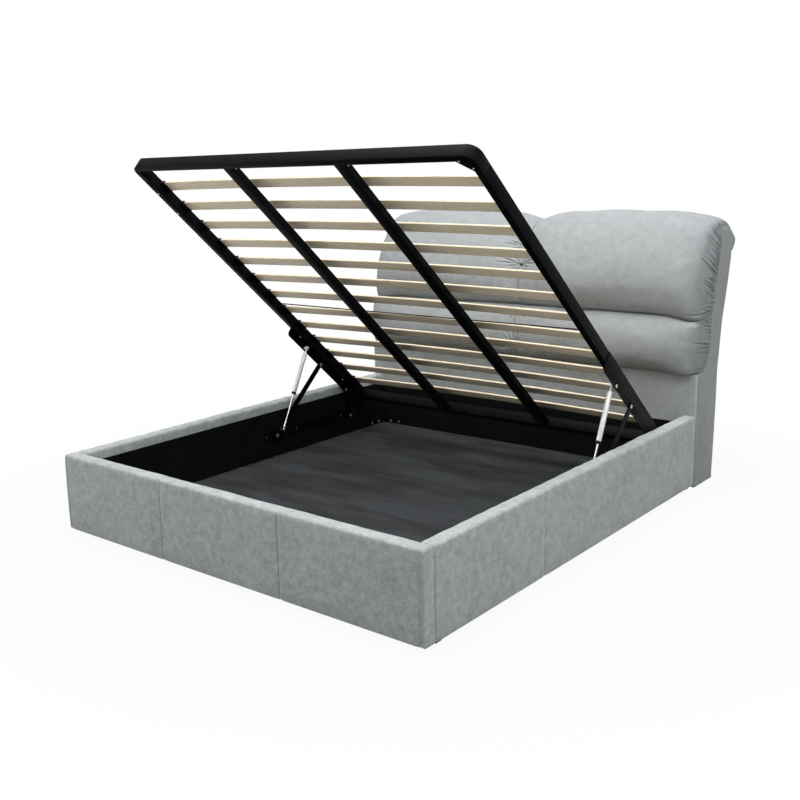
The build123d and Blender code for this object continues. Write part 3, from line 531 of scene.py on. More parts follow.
def wood(name, pale, deep, stretch, grain_scale, roughness, turn=0.0):
    """One wood: its two tones, how its grain is drawn out along X, Y and Z, and its gloss."""
    finish, tree, shader = new_finish(name)
    turned = add_node(tree, "ShaderNodeMapping", {"Vector": own_place(tree), "Rotation": (turn, 0, 0)})
    board = place_group(tree, wood_group, {
        "Vector": stretched(tree, turned.outputs["Vector"], stretch),
        "Pale": pale, "Deep": deep, "Grain": grain_scale,
    })
    feed(tree, shader, {
        "Base Color": board["Color"], "Normal": bump(tree, board["Height"], strength=0.12, distance=0.0006),
        "Roughness": roughness, "Specular IOR Level": 0.35,
    })
    return finish


slat_face = wood(
    "slat_face", pale=(0.88, 0.78, 0.59, 1), deep=(0.75, 0.62, 0.43, 1),
    stretch=(0.6, 9, 9), grain_scale=22.0, roughness=0.42, turn=tilt,
)
slat_edge = wood(
    "slat_edge", pale=(0.62, 0.54, 0.40, 1), deep=(0.50, 0.42, 0.29, 1),
    stretch=(0.8, 4, 150), grain_scale=6.0, roughness=0.55, turn=tilt,
)
chipboard = wood(
    "chipboard", pale=(0.44, 0.32, 0.20, 1), deep=(0.27, 0.18, 0.10, 1),
    stretch=(14, 14, 14), grain_scale=16.0, roughness=0.8,
)
print("wood finishes:", slat_face.name, slat_edge.name, chipboard.name)

# %% [markdown]
# Steel appears in three ways: black powder coat on tubes, plates and links, bright metal on bolts and pins,
# and the struts' grey paint and polished rods. A coat is not one even value: it has a slight orange peel and
# handling marks. The group gives a cloudy value for roughness and a fine height, and each metal uses it at
# its own strength. Black plastic is made with it too.

# %% Node group for coats and metals
coat_group, coat_in, coat_out = new_group(
    "coat and handling",
    [("Base", COLOUR, grey(0.02)), ("Rubbed", COLOUR, grey(0.06)), ("Rubbing", FLOAT, 0.2),
     ("Smooth", FLOAT, 0.3), ("Rough", FLOAT, 0.5)],
    [("Color", COLOUR), ("Roughness", FLOAT), ("Height", FLOAT)],
)
place = own_place(coat_group)
clouds = noise(coat_group, place, scale=9.0, detail=5.0, roughness=0.7)
scuffs = add_share(coat_group, ranged(coat_group, clouds, 0.52, 0.75), coat_in["Rubbing"])
feed(coat_group, coat_out, {
    "Color": colour_between(coat_group, scuffs, coat_in["Base"], coat_in["Rubbed"]),
    "Roughness": ranged(coat_group, clouds, 0.3, 0.7, coat_in["Smooth"], coat_in["Rough"]),
    "Height": noise(coat_group, place, scale=900.0, detail=1.0),
})


def hard_finish(name, base, rubbed, rubbing, roughness, metallic=0.0, specular=0.5):
    """One painted, plated or moulded finish, with the lowest and the highest roughness of its coat."""
    finish, tree, shader = new_finish(name)
    coat = place_group(tree, coat_group, {
        "Base": base, "Rubbed": rubbed, "Rubbing": rubbing, "Smooth": roughness[0], "Rough": roughness[1],
    })
    feed(tree, shader, {
        "Base Color": coat["Color"], "Roughness": coat["Roughness"],
        "Normal": bump(tree, coat["Height"], strength=0.2, distance=0.0002),
        "Metallic": metallic, "Specular IOR Level": specular,
    })
    return finish


powder_coat = hard_finish(
    "powder_coat", grey(0.0022, (0.8, 1, 1.15)), grey(0.006), 0.5, (0.40, 0.54), specular=0.03,
)
# The edges' coat is lighter than the rest: a painted highlight along the rounded edges of tubes and plates.
powder_coat_edge = hard_finish("powder_coat_edge", grey(0.008), grey(0.03), 0.6, (0.3, 0.42), specular=0.3)
black_plastic = hard_finish("black_plastic", grey(0.005), grey(0.012), 0.3, (0.45, 0.6), specular=0.12)
zinc_plate = hard_finish("zinc_plate", grey(0.55, (1, 1, 1.02)), grey(0.34), 0.6, (0.25, 0.42), metallic=1.0)
pin_steel = hard_finish("pin_steel", grey(0.5), grey(0.3), 0.6, (0.28, 0.45), metallic=1.0)
rod_steel = hard_finish("rod_steel", grey(0.62), grey(0.5), 0.3, (0.1, 0.2), metallic=1.0)
strut_paint = hard_finish(
    "strut_paint", grey(0.62, (1, 1, 1.01)), grey(0.5), 0.4, (0.22, 0.34), metallic=0.25,
)
print("hard finishes:", powder_coat.name, zinc_plate.name, rod_steel.name, strut_paint.name)

# %% [markdown]
# Real tubes, plates and boards have no knife edges. Each metal node is copied, the copy's loose triangles are
# merged into whole faces, and its edges get a small rounding that catches the light as a thin line. The CAD
# node itself stays untouched and hidden, because its shape also serves for collisions. The rounding's faces
# may carry a second, lighter and glossier finish: a painted highlight that makes that thin line brighter.

# %% Rounded copies of the hard nodes
def rounded_copy(node, radius, segments=2):
    """A copy of a CAD node with whole faces and rounded edges."""
    source = frame["nodes"][node]
    piece = source.copy()
    piece.data = source.data.copy()
    for key in list(piece.keys()):
        del piece[key]
    piece.parent = None
    piece.name = piece.data.name = node + "_finished"
    bpy.context.scene.collection.objects.link(piece)
    choose(piece)
    piece.data.materials.clear()
    bpy.ops.object.mode_set(mode="EDIT")
    bpy.ops.mesh.select_all(action="SELECT")
    bpy.ops.mesh.remove_doubles(threshold=0.00001)
    bpy.ops.mesh.dissolve_limited(angle_limit=math.radians(0.6))
    bpy.ops.object.mode_set(mode="OBJECT")
    bevel_sharp(piece, radius, 30, segments=segments, material=1, miter_outer="MITER_ARC")
    smooth(piece, 40)
    return piece


def finish_hard(nodes, slot, radius, finish, highlight_finish=None, segments=2):
    """Rounded copies of several nodes in one finish; a second, if given, paints a highlight on their rounded
    edges.
    """
    for node in nodes:
        stand_for(rounded_copy(node, radius, segments), node, slot, finish, highlight_finish or finish)


tubes = [
    "lift_frame_foot_bar", *both("lift_frame_side_rail"),
    "lift_frame_head_bar", *both("lift_frame_inner_rail"),
]
plates = [
    "lift_frame_corner_plate", *both("frame_plate", "base_plate", "front_lever", "rear_link"),
    "corner_brackets",
]
finish_hard(tubes, "black_steel", 0.0016, powder_coat, powder_coat_edge)
finish_hard(plates, "black_steel", 0.0006, powder_coat, powder_coat_edge)
finish_hard(["slat_holders", "feet", "headboard_glides"], "black_plastic", 0.0012, black_plastic)
finish_hard(["corner_bolts"], "zinc_steel", 0.0025, zinc_plate, segments=3)
finish_hard(["frame_bolts", "base_plate_screws"], "zinc_steel", 0.0006, zinc_plate)
finish_hard(["base_pins", "frame_pins"], "pin_steel", 0.0008, pin_steel)
finish_hard(both("strut_rod"), "strut_rod_steel", 0.0006, rod_steel)
finish_hard(both("strut_cylinder"), "strut_paint", 0.0012, strut_paint)

# %% [markdown]
# A slat is pressed from thin veneers: its broad faces show calm grain, and its long edges show the layers as
# pale and brown lines. The copy's long side faces are found by their direction, which is along the tilted
# platform, and get the edge finish.

# %% Slats
slats = rounded_copy("slats", 0.002, 3)
stand_for(slats, "slats", "slat_wood", slat_face, slat_edge)
along_platform = Vector((0, -math.cos(tilt), math.sin(tilt)))
for face in slats.data.polygons:
    face.material_index = 1 if abs(face.normal.dot(along_platform)) > 0.8 else 0
edge_faces = sum(face.material_index for face in slats.data.polygons)
print("slats:", len(slats.data.polygons), "faces,", edge_faces, "on edges")

# %% [markdown]
# A thin steel wire runs straight across the lift frame between two slats and keeps the side rails from
# spreading. It is a slim rod with a flat collar at each end, where it enters the rails.

# %% Cross wire
def place_trim(piece, place, turn, finish, body):
    """Turns and places a piece of thin trim, finishes it and lets it ride on a body."""
    piece.rotation_euler = turn
    piece.location = place
    fix_place(piece)
    smooth(piece)
    piece.data.materials.append(finish)
    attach(piece, body)


platform_head = Vector((0, 0.6611, 0.2802))
off_platform = Vector((0, math.sin(tilt), math.cos(tilt)))
wire_from_head, wire_below_top = 0.905, 0.012
wire_radius, wire_length, collar_start, collar_height = 0.0028, 1.7396, 0.8658, 0.0035
wire_middle = platform_head + wire_from_head * along_platform - wire_below_top * off_platform
wire = rod("lift_frame_cross_wire", wire_radius, wire_length, vertices=20)
cut_lines(wire, [((0, 0, collar_start), (0, 0, 1)), ((0, 0, -collar_start), (0, 0, 1))])
choose_faces(wire, lambda face: abs(face.center.z) > collar_start and abs(face.normal.z) < 0.5)
bpy.ops.mesh.extrude_region_shrink_fatten(TRANSFORM_OT_shrink_fatten={"value": collar_height})
bpy.ops.object.mode_set(mode="OBJECT")
bevel_sharp(wire, 0.0005, 50, segments=2)
place_trim(wire, wire_middle, (0, math.pi / 2, 0), powder_coat, body_of("slats"))
print("cross wire at", wire_middle)

# %% [markdown]
# The boards that the upholstery hides, the storage floor's boards and the lining keep their CAD shape, which
# is right as it is, and take a finish made of nodes.

# %% Finishes of the nodes that keep their shape
lined = ["foot_panel_liner", *both("side_rail_liner"), "head_wall_board"]
wooden = [
    "foot_panel_board", *both("side_rail_board"), "floor_battens", "floor_bearers",
    "floor_board_foot", "floor_board_middle", "floor_board_head", *both("headboard_rib"),
    "headboard_rib_centre", "headboard_front_panel", "headboard_top_board", "headboard_bottom_board",
    "headboard_crossrails",
]
for nodes, finish in ((lined, lining_cloth), (wooden, chipboard)):
    for node in nodes:
        frame["nodes"][node].data.materials.clear()
        frame["nodes"][node].data.materials.append(finish)
print("nodes that keep their shape:", len(lined) + len(wooden))

# %% [markdown]
# A gas strut's cylinder ends below in a dark guide ring round the rod. It is a short rod whose two end faces
# are cut out, up to a lip, for the strut's own rod. The skin that is left gets a thin wall and soft edges.

# %% Guide rings of the struts
ring_radius, ring_length, ring_lip, ring_wall = 0.0116, 0.013, 0.0028, 0.0003
ring_from_foot, strut_across = 0.1985, 0.880
strut_foot, strut_top = Vector((0, -0.023384, 0.208)), Vector((0, 0.177009, 0.608348))
strut_line = (strut_top - strut_foot).normalized()
ring_middle = strut_foot + strut_line * ring_from_foot
ring_turn = Vector((0, 0, 1)).rotation_difference(strut_line).to_euler()
for side, name in SIDES:
    ring = rod(f"strut_guide_ring_{name}", ring_radius, ring_length, vertices=40)
    choose_faces(ring, lambda face: abs(face.normal.z) > 0.9)
    bpy.ops.mesh.inset(thickness=ring_lip)
    bpy.ops.mesh.delete(type="FACE")
    bpy.ops.object.mode_set(mode="OBJECT")
    apply_modifier(ring, "SOLIDIFY", thickness=ring_wall, offset=0)
    bevel_sharp(ring, 0.0006, 40, segments=2)
    place = ring_middle + Vector((side * strut_across, 0, 0))
    place_trim(ring, place, ring_turn, black_plastic, f"strut_cylinder_{name}")
print("guide rings at", ring_middle)

# %% [markdown]
# A box panel's cover is cloth over foam over a board: it wraps from the outside over the top and a little way
# down inside, and sewn seams draw it in. It is made as a block with rounded edges, cut into even faces, so
# that its points can be eased out between the seams and drawn in along them. The board's room is cut out of
# it last, so the cover sits round the board as the real one does.

# %% Helpers for padded panels
cover_edge, seam_depth, seam_width = 0.011, 0.0060, 0.0022
seam_cuts = (-0.012, -0.006, -0.003, -0.001, 0.001, 0.003, 0.006, 0.012)
end_cuts = (0.002, 0.005, 0.009)
room_bottom, past_room, past_end = -0.02, 0.02, 0.05


def even_faces(piece, spacing):
    """Divides a block's straight edges, so that its faces are about one spacing long."""
    for axis in range(3):
        lengths = [
            abs((piece.data.vertices[e.vertices[0]].co - piece.data.vertices[e.vertices[1]].co)[axis])
            for e in piece.data.edges
        ]
        longest = max(lengths)
        if longest < 2 * spacing[axis]:
            continue

        def runs_along(first, second):
            step = second - first
            return abs(step[axis]) > 0.9 * longest and abs(step[axis]) > 0.999 * step.length

        choose_edges(piece, runs_along)
        bpy.ops.mesh.subdivide(number_cuts=max(1, round(longest / spacing[axis]) - 1))
        bpy.ops.object.mode_set(mode="OBJECT")


def planes_across(axis, seams, steps):
    """Planes across one axis, at each step from each seam."""
    direction = Vector([float(each == axis) for each in range(3)])
    return [(direction * (seam + step), direction) for seam in seams for step in steps]


def cut_room(piece, low, high):
    """Cuts a block's room out of a piece."""
    cutter = block("cutter", low, high)
    apply_modifier(piece, "BOOLEAN", operation="DIFFERENCE", solver="EXACT", object=cutter)
    bpy.data.objects.remove(cutter)


def seam_dip(distance, depth=seam_depth, width=seam_width):
    """How far a seam draws the cloth in at a distance from it: a narrow groove in a wider hollow."""
    groove = np.exp(-(distance / width) ** 2)
    hollow = np.exp(-(distance / (6 * width)) ** 2)
    return depth * (0.75 * groove + 0.25 * hollow)


def crowned(height_share, height):
    """How far a full panel stands out at a share of its height."""
    return height * (1 - np.abs(2 * height_share - 1) ** 6)


def stuffed(places, height_share, broad_seed, fine_seed):
    """The unevenness of stuffing under cloth, which fades out along the panel's lower edge."""
    uneven = 0.0009 * swell(places, 0.16, broad_seed) + 0.0005 * swell(places, 0.05, fine_seed)
    return uneven * np.clip(height_share / 0.06, 0, 1)


def weigh_edges(piece, test, weight):
    """Sets how strongly a weighted bevel rounds the edges whose two ends pass the test."""
    points = piece.data.vertices
    weights = piece.data.attributes.get("bevel_weight_edge")
    weights = weights or piece.data.attributes.new("bevel_weight_edge", "FLOAT", "EDGE")
    for edge in piece.data.edges:
        first, second = edge.vertices
        if test(points[first].co, points[second].co):
            weights.data[edge.index].value = weight


# %% [markdown]
# The foot panel closes the box towards the camera. Two upright seams divide its front in three, and a double
# seam runs down beside each outer corner. One even bevel could round it, but the cloth is soft over the top
# edge and tight round the corners, so a weighted bevel rounds the upright edges only half as much.

# %% Foot panel's cover
foot_low, foot_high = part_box("foot_panel_cover")
board_low, board_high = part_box("foot_panel_board")
liner_low, liner_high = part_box("foot_panel_liner")
foot_cover = block("foot_panel_velvet", foot_low, foot_high)
weigh_edges(foot_cover, lambda first, second: min(first.z, second.z) > foot_high.z - 0.001, 1.0)
weigh_edges(foot_cover, lambda first, second: abs(first.z - second.z) > 0.1, 0.5)
apply_modifier(foot_cover, "BEVEL", width=cover_edge, segments=4, limit_method="WEIGHT")
even_faces(foot_cover, (0.016, 0.012, 0.014))
foot_seams = (-0.331, 0.322)
corner_seams = [side * (foot_high.x - inset) for side in (-1, 1) for inset in (0.0095, 0.0185)]
cut_lines(foot_cover, planes_across(0, foot_seams, seam_cuts))
cut_lines(foot_cover, planes_across(0, corner_seams, (-0.003, -0.001, 0.001, 0.003)))
places, directions = places_of(foot_cover), directions_of(foot_cover)
height_share = np.clip((places[:, 2] - foot_low.z) / (foot_high.z - foot_low.z), 0, 1)
front = np.clip(-directions[:, 1], 0, 1)
topside = np.clip(directions[:, 2], 0, 1)
shown = np.clip(front + topside + np.abs(directions[:, 0]), 0, 1)
dips = sum(seam_dip(np.abs(places[:, 0] - seam)) for seam in foot_seams) * (front + 0.5 * topside)
corner_dips = sum(seam_dip(np.abs(places[:, 0] - seam), 0.0042, 0.0018) for seam in corner_seams) * front
out = crowned(height_share, 0.0035) * front - dips - corner_dips + stuffed(places, height_share, 3, 4) * shown
move_points(foot_cover, places + directions * out[:, None])
cut_room(foot_cover, (board_low.x, board_low.y, room_bottom), board_high)
cut_room(
    foot_cover, (liner_low.x, liner_low.y, room_bottom),
    (liner_high.x, liner_high.y + past_room, liner_high.z),
)
smooth(foot_cover, 50)
stand_for(foot_cover, "foot_panel_cover", "box_fabric", box_velvet)
print("foot cover:", len(foot_cover.data.polygons), "faces")

# %% [markdown]
# The side rails' covers are made the same way. Each has one upright seam, nearly two fifths of the way along
# its outside, and its two ends are eased, because each is a separate panel that butts against its neighbours.

# %% Side rails' covers
rail_seam = -0.525
for side, name in SIDES:
    rail_low, rail_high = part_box(f"side_rail_cover_{name}")
    board_low, board_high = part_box(f"side_rail_board_{name}")
    liner_low, liner_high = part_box(f"side_rail_liner_{name}")
    rail_cover = block(f"side_rail_velvet_{name}", rail_low, rail_high)

    def top_edge(first, second):
        return min(first.z, second.z) > rail_high.z - 0.001 and abs(first.x - second.x) < 0.001

    round_edges(rail_cover, top_edge, cover_edge)
    even_faces(rail_cover, (0.012, 0.016, 0.014))
    cut_lines(rail_cover, planes_across(1, [rail_seam], seam_cuts))
    cut_lines(rail_cover, planes_across(1, [rail_low.y], end_cuts))
    cut_lines(rail_cover, planes_across(1, [rail_high.y], [-step for step in end_cuts]))
    places, directions = places_of(rail_cover), directions_of(rail_cover)
    height_share = np.clip((places[:, 2] - rail_low.z) / (rail_high.z - rail_low.z), 0, 1)
    outside = np.clip(directions[:, 0] * side, 0, 1)
    topside = np.clip(directions[:, 2], 0, 1)
    shown = np.clip(outside + topside, 0, 1)
    dips = seam_dip(np.abs(places[:, 1] - rail_seam)) * (outside + 0.5 * topside)
    from_end = np.minimum(places[:, 1] - rail_low.y, rail_high.y - places[:, 1])
    eased = 0.0065 * np.exp(-(from_end / 0.005)) * shown
    gathered = 0.0009 * np.sin(places[:, 1] * 2 * math.pi / 0.085 + 2 * np.sin(places[:, 1] * 9)) * topside
    out = crowned(height_share, 0.003) * outside - dips - eased + gathered
    out += stuffed(places, height_share, 5 + side, 9 + side) * shown
    move_points(rail_cover, places + directions * out[:, None])
    inner, outer = sorted((liner_low.x, liner_high.x), key=abs)
    liner_room = sorted((inner - past_room * side, outer))
    for (room_low, room_high), top in (
        ((board_low.x, board_high.x), board_high.z), (liner_room, liner_high.z),
    ):
        cut_room(
            rail_cover, (room_low, rail_low.y - past_end, room_bottom),
            (room_high, rail_high.y + past_end, top),
        )
    smooth(rail_cover, 50)
    stand_for(rail_cover, f"side_rail_cover_{name}", "box_fabric", box_velvet)
    print("rail cover", name, ":", len(rail_cover.data.polygons), "faces")

# %% [markdown]
# The storage floor's cloth lies loose on three boards and ripples a little across the bed. It is one flat
# sheet, cut to the floor, divided finely enough to ripple, and given its thickness at the end.

# %% Floor cloth
ripple_height, cloth_margin, cloth_lift, cloth_thickness = 0.0028, 0.002, 0.0002, 0.0008
cloth_low, cloth_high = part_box("floor_fabric")
cloth_width, cloth_length = cloth_high.x - cloth_low.x, cloth_high.y - cloth_low.y
deselect_all()
bpy.ops.mesh.primitive_grid_add(
    x_subdivisions=92, y_subdivisions=160, size=1,
    location=((cloth_low.x + cloth_high.x) / 2, (cloth_low.y + cloth_high.y) / 2, cloth_low.z + cloth_lift),
)
floor_cloth = bpy.context.object
floor_cloth.name = floor_cloth.data.name = "floor_felt_sheet"
floor_cloth.scale = (cloth_width - cloth_margin, cloth_length - cloth_margin, 1)
fix_place(floor_cloth)
places = places_of(floor_cloth)
drift = 0.02 * np.sin(places[:, 0] * 3.1 + 0.6) + 0.012 * np.sin(places[:, 0] * 7.3 + places[:, 1] * 4)
turns = (places[:, 1] + drift) * 2 * math.pi
ripple = np.sin(turns / 0.093) + 0.6 * np.sin(turns / 0.061 + 2 * np.sin(places[:, 0] * 2.2))
looseness = 0.55 + 0.45 * swell(places, 0.5, 61)
places[:, 2] += ripple_height * (1.1 + 0.62 * ripple * np.clip(looseness, 0, 1))
move_points(floor_cloth, places)
apply_modifier(floor_cloth, "SOLIDIFY", thickness=cloth_thickness, offset=1)
smooth(floor_cloth)
stand_for(floor_cloth, "floor_fabric", "floor_fabric", floor_felt)
print("floor cloth:", round(cloth_width, 3), "by", round(cloth_length, 3), "m")

# %% [markdown]
# The headboard leans back and ends in a thick roll. Four cushions dress its front, two above two, and each
# wraps round the end of the headboard to a seam on its side. Their outlines are drawn as a few points
# in the Y and Z plane: one where the cushion is full, one where the middle seam draws it in, and one along
# the seam on the side. A smooth curve through such points gives the section.

# %% Helpers for cushions
def length_along(points):
    """How far along a line each of its points lies."""
    return np.concatenate([[0], np.cumsum(np.linalg.norm(np.diff(points, axis=0), axis=1))])


def smooth_line(points, count):
    """Evenly spaced points on a smooth line through a few given points."""
    points = np.array(points, float)
    padded_points = np.vstack([2 * points[0] - points[1], points, 2 * points[-1] - points[-2]])
    dense = []
    for index in range(1, len(padded_points) - 2):
        before, start, end, after = padded_points[index - 1:index + 3]
        share = np.linspace(0, 1, 40, endpoint=False)[:, None]
        dense.append(0.5 * (
            2 * start + (end - before) * share + (2 * before - 5 * start + 4 * end - after) * share ** 2
            + (3 * start - before - 3 * end + after) * share ** 3
        ))
    dense = np.vstack(dense + [points[-1:]])
    steps = length_along(dense)
    even = np.linspace(0, steps[-1], count)
    return np.column_stack([np.interp(even, steps, dense[:, axis]) for axis in range(2)])


def headboard_points(points):
    """Listed points in metres, from millimetres behind the foot's front and above the underside."""
    foot_front, underside = -1267.5, 18
    return [((y + foot_front) / 1000, (z + underside) / 1000) for y, z in points]


def crease_depth(away, along, creases):
    """How deep a set of creases presses the cloth at each point, by its distances from and along a seam."""
    depth = np.zeros_like(away)
    for start_away, start_along, end_away, end_along, deep, wide in creases:
        run = np.array([end_away - start_away, end_along - start_along])
        length = np.linalg.norm(run)
        run = run / length
        step = (away - start_away) * run[0] + (along - start_along) * run[1]
        across = (along - start_along) * run[0] - (away - start_away) * run[1]
        share = np.clip(step / length, 0, 1)
        over = step - share * length
        fade = np.sin(math.pi * np.clip(share * 0.8 + 0.2, 0, 1)) ** 0.6
        distance = (across ** 2 + over ** 2) / wide ** 2
        depth += deep * fade * (1.3 * np.exp(-distance) - 0.35 * np.exp(-distance / 5))
    return depth


def seam_creases(seed, first, last, spacing, reach, slants):
    """Creases that leave a seam all along it, long and short by turns, each leaning up and away from it."""
    draw = np.random.default_rng(seed)
    creases, along = [], first
    while along < last:
        share = (along - first) / (last - first)
        length = reach * (0.72 + 0.35 * math.sin(along * 2 * math.pi / 0.13)) * draw.uniform(0.5, 1.15)
        lean = length * (slants[0] + (slants[1] - slants[0]) * share + draw.uniform(-0.18, 0.18))
        start = draw.uniform(0.001, 0.01)
        deep, wide = draw.uniform(0.0040, 0.0080), draw.uniform(0.0040, 0.0060)
        creases.append((start, along, start + length, along + lean, deep, wide))
        along += spacing * draw.uniform(0.55, 1.45)
    return creases


def star_creases(seed, centres, count, reach):
    """Creases that spread from tight points on a seam."""
    draw = np.random.default_rng(seed)
    creases, start, spread = [], 0.002, 76
    for centre in centres:
        for number in range(count):
            angle = math.radians(2 * spread * (number + draw.uniform(0.2, 0.8)) / count - spread)
            length = reach * draw.uniform(0.6, 1.15)
            end = (start + length * math.cos(angle), centre + length * math.sin(angle))
            deep, wide = draw.uniform(0.0040, 0.0075), draw.uniform(0.0036, 0.0054)
            creases.append((start, centre, *end, deep, wide))
    return creases


# %% [markdown]
# A cushion's skin runs in rows from the middle seam to the seam on the side. Near the middle seam the rows
# are drawn in steeply, towards the side they turn round a full, boxy corner, and between them the cushion is
# a little crowned. At the outer corners the filling sags, so the crease between two cushions dips there.

# %% Rows of a cushion's skin
middle_start, middle_reach, crown_x = 0.0004, 0.21, 0.5
end_start, end_x, tuck_start, tuck_x = 0.835, 0.9765, 0.9735, 0.9658
sag_x, sag_width, low_reach, high_reach, free_reach = 0.95, 0.11, 0.11, 0.07, 0.03


def corner_steps(count, fullness=0.42, depth=0.24):
    """Evenly spaced steps round a boxy corner, as shares of its width and of its depth."""
    turn = np.linspace(0, math.pi / 2, 2000)
    across, inward = np.sin(turn) ** fullness, 1 - np.cos(turn) ** fullness
    steps = np.hypot(np.diff(across) * (end_x - end_start), np.diff(inward) * depth)
    travelled = np.concatenate([[0], np.cumsum(steps)])
    even = np.linspace(0, travelled[-1], count)
    return zip(np.interp(even, travelled, across), np.interp(even, travelled, inward))


def row_places():
    """Each row's x, and its shares of the middle seam's and of the side seam's outline."""
    rows = []
    for share in np.linspace(0, 1, 15) ** 1.6:
        x = middle_start + (middle_reach - middle_start) * share
        rows.append((x, 1 - math.sqrt(1 - (1 - share) ** 2), 0.0))
    for x in np.linspace(middle_reach, end_start, 36)[1:-1]:
        rows.append((x, 0.0, 0.0))
    for across, inward in corner_steps(44):
        rows.append((end_start + (end_x - end_start) * across, 0.0, inward))
    return rows


def skin_rows(full, middle, end, crown_shift, low_sag, high_sag, in_front_of):
    """A cushion's skin as a grid of points, between three outlines that are cut alike.

    The outer corners sag by low_sag and high_sag, and the lower one only in front of one y, where it is free.
    """
    arc = length_along(full)
    rows = []
    for x, toward_middle, toward_end in row_places():
        crown = crown_shift * ((x - crown_x) / crown_x) ** 2 * (1 - toward_middle - toward_end)
        row = full + (toward_middle + crown) * (middle - full) + toward_end * (end - full)
        sag = math.exp(-((x - sag_x) / sag_width) ** 2) * (1 - toward_end)
        free = np.clip((in_front_of - row[:, 0]) / free_reach, 0, 1)
        row[:, 1] -= sag * (low_sag * free * np.clip(1 - arc / low_reach, 0, 1))
        row[:, 1] -= sag * (high_sag * np.clip(1 - (arc[-1] - arc) / high_reach, 0, 1))
        rows.append(np.column_stack([np.full(len(arc), x), row]))
    return np.array(rows)


def closed_skin(grid, inner):
    """A skin's points and faces, closed by a line of points inside and by two rows tucked in at the side."""
    outline = grid[-1][:, 1:]
    inward = outline.mean(axis=0) - outline
    rows = list(grid)
    for x, share in ((tuck_start, 0.02), (tuck_x, 0.05)):
        rows.append(np.column_stack([np.full(len(outline), x), outline + share * inward]))
    loops = []
    for row in rows:
        behind = np.column_stack([np.full(len(inner), min(row[0, 0], tuck_x)), inner])
        loops.append(np.vstack([row, behind]))
    size = len(loops[0])
    faces = [
        (row * size + column, row * size + (column + 1) % size,
         (row + 1) * size + (column + 1) % size, (row + 1) * size + column)
        for row in range(len(loops) - 1) for column in range(size)
    ]
    faces.append(tuple(reversed(range(size))))
    faces.append(tuple(range((len(loops) - 1) * size, len(loops) * size)))
    return np.vstack(loops), faces


def skin_piece(name, points, faces):
    """A piece from an array of points and from faces, which are turned outwards."""
    piece = new_piece(name, points.tolist(), faces)
    turn_outwards(piece)
    return piece


print("rows in a cushion's skin:", len(row_places()))

# %% [markdown]
# Drawn outlines alone look stiff, so the skin then comes to rest as cloth: it is held along all its sewn
# edges, a little air pressure fills it, and gravity is off. How far any point may move is capped, so that the
# cushion keeps its size, and the movement is evened out, because well filled cushions show no loose folds on
# their fronts. Creases are pressed in afterwards.

# %% Cloth at rest
rest_frames, air_pressure, evening_passes, farthest_move = 20, 8, 14, 0.008


def settled(grid):
    """The skin's grid after a short cloth simulation with its seams held."""
    row_count, size = grid.shape[:2]
    points = grid.reshape(-1, 3)
    numbers = np.arange(len(points)).reshape(row_count, size)
    corners = np.stack([numbers[:-1, :-1], numbers[:-1, 1:], numbers[1:, 1:], numbers[1:, :-1]], axis=-1)
    piece = skin_piece("settling_skin", points, corners.reshape(-1, 4).tolist())
    held = np.setdiff1d(numbers, numbers[2:-2, 3:-3])
    group = piece.vertex_groups.new(name="held")
    group.add([int(number) for number in held], 1.0, "REPLACE")
    cloth = piece.modifiers.new("cloth", "CLOTH")
    cloth.settings.vertex_group_mass = "held"
    cloth.settings.use_pressure = True
    cloth.settings.uniform_pressure_force = air_pressure
    cloth.settings.effector_weights.gravity = 0
    cloth.collision_settings.use_collision = False
    cloth.point_cache.frame_end = rest_frames
    for number in range(1, rest_frames + 1):
        bpy.context.scene.frame_set(number)
    rested = piece.evaluated_get(bpy.context.evaluated_depsgraph_get())
    moved = places_of(rested) - points
    bpy.context.scene.frame_set(1)
    bpy.data.objects.remove(piece)
    reach = np.linalg.norm(moved, axis=1, keepdims=True)
    print("cloth moved at most", round(float(reach.max()), 4), "m, on average", round(float(reach.mean()), 4))
    moved *= np.minimum(1, farthest_move / np.maximum(reach, 1e-9))
    moved = moved.reshape(grid.shape)
    for _ in range(evening_passes):
        moved[1:-1] = (moved[:-2] + 2 * moved[1:-1] + moved[2:]) / 4
        moved[:, 1:-1] = (moved[:, :-2] + 2 * moved[:, 1:-1] + moved[:, 2:]) / 4
    return grid + moved


# %% [markdown]
# All cushions take the same steps: three outlines give a grid of points, the grid rests as cloth and is made
# finer, lumps, gathers and creases move it in and out, and it is closed behind. A hand could sculpt each one,
# but steps that repeat give all four the same character. The left-hand cushions are mirror images of the
# right-hand ones.

# %% Cushion skins
fade_reach = 0.03


def halved(grid):
    """Adds a point between each two neighbours along a grid's first direction, on a smooth line."""
    longer = np.concatenate([2 * grid[:1] - grid[1:2], grid, 2 * grid[-1:] - grid[-2:-1]])
    between = (9 * (longer[1:-2] + longer[2:-1]) - longer[:-3] - longer[3:]) / 16
    finer = np.empty((2 * len(grid) - 1,) + grid.shape[1:])
    finer[::2], finer[1::2] = grid, between
    return finer


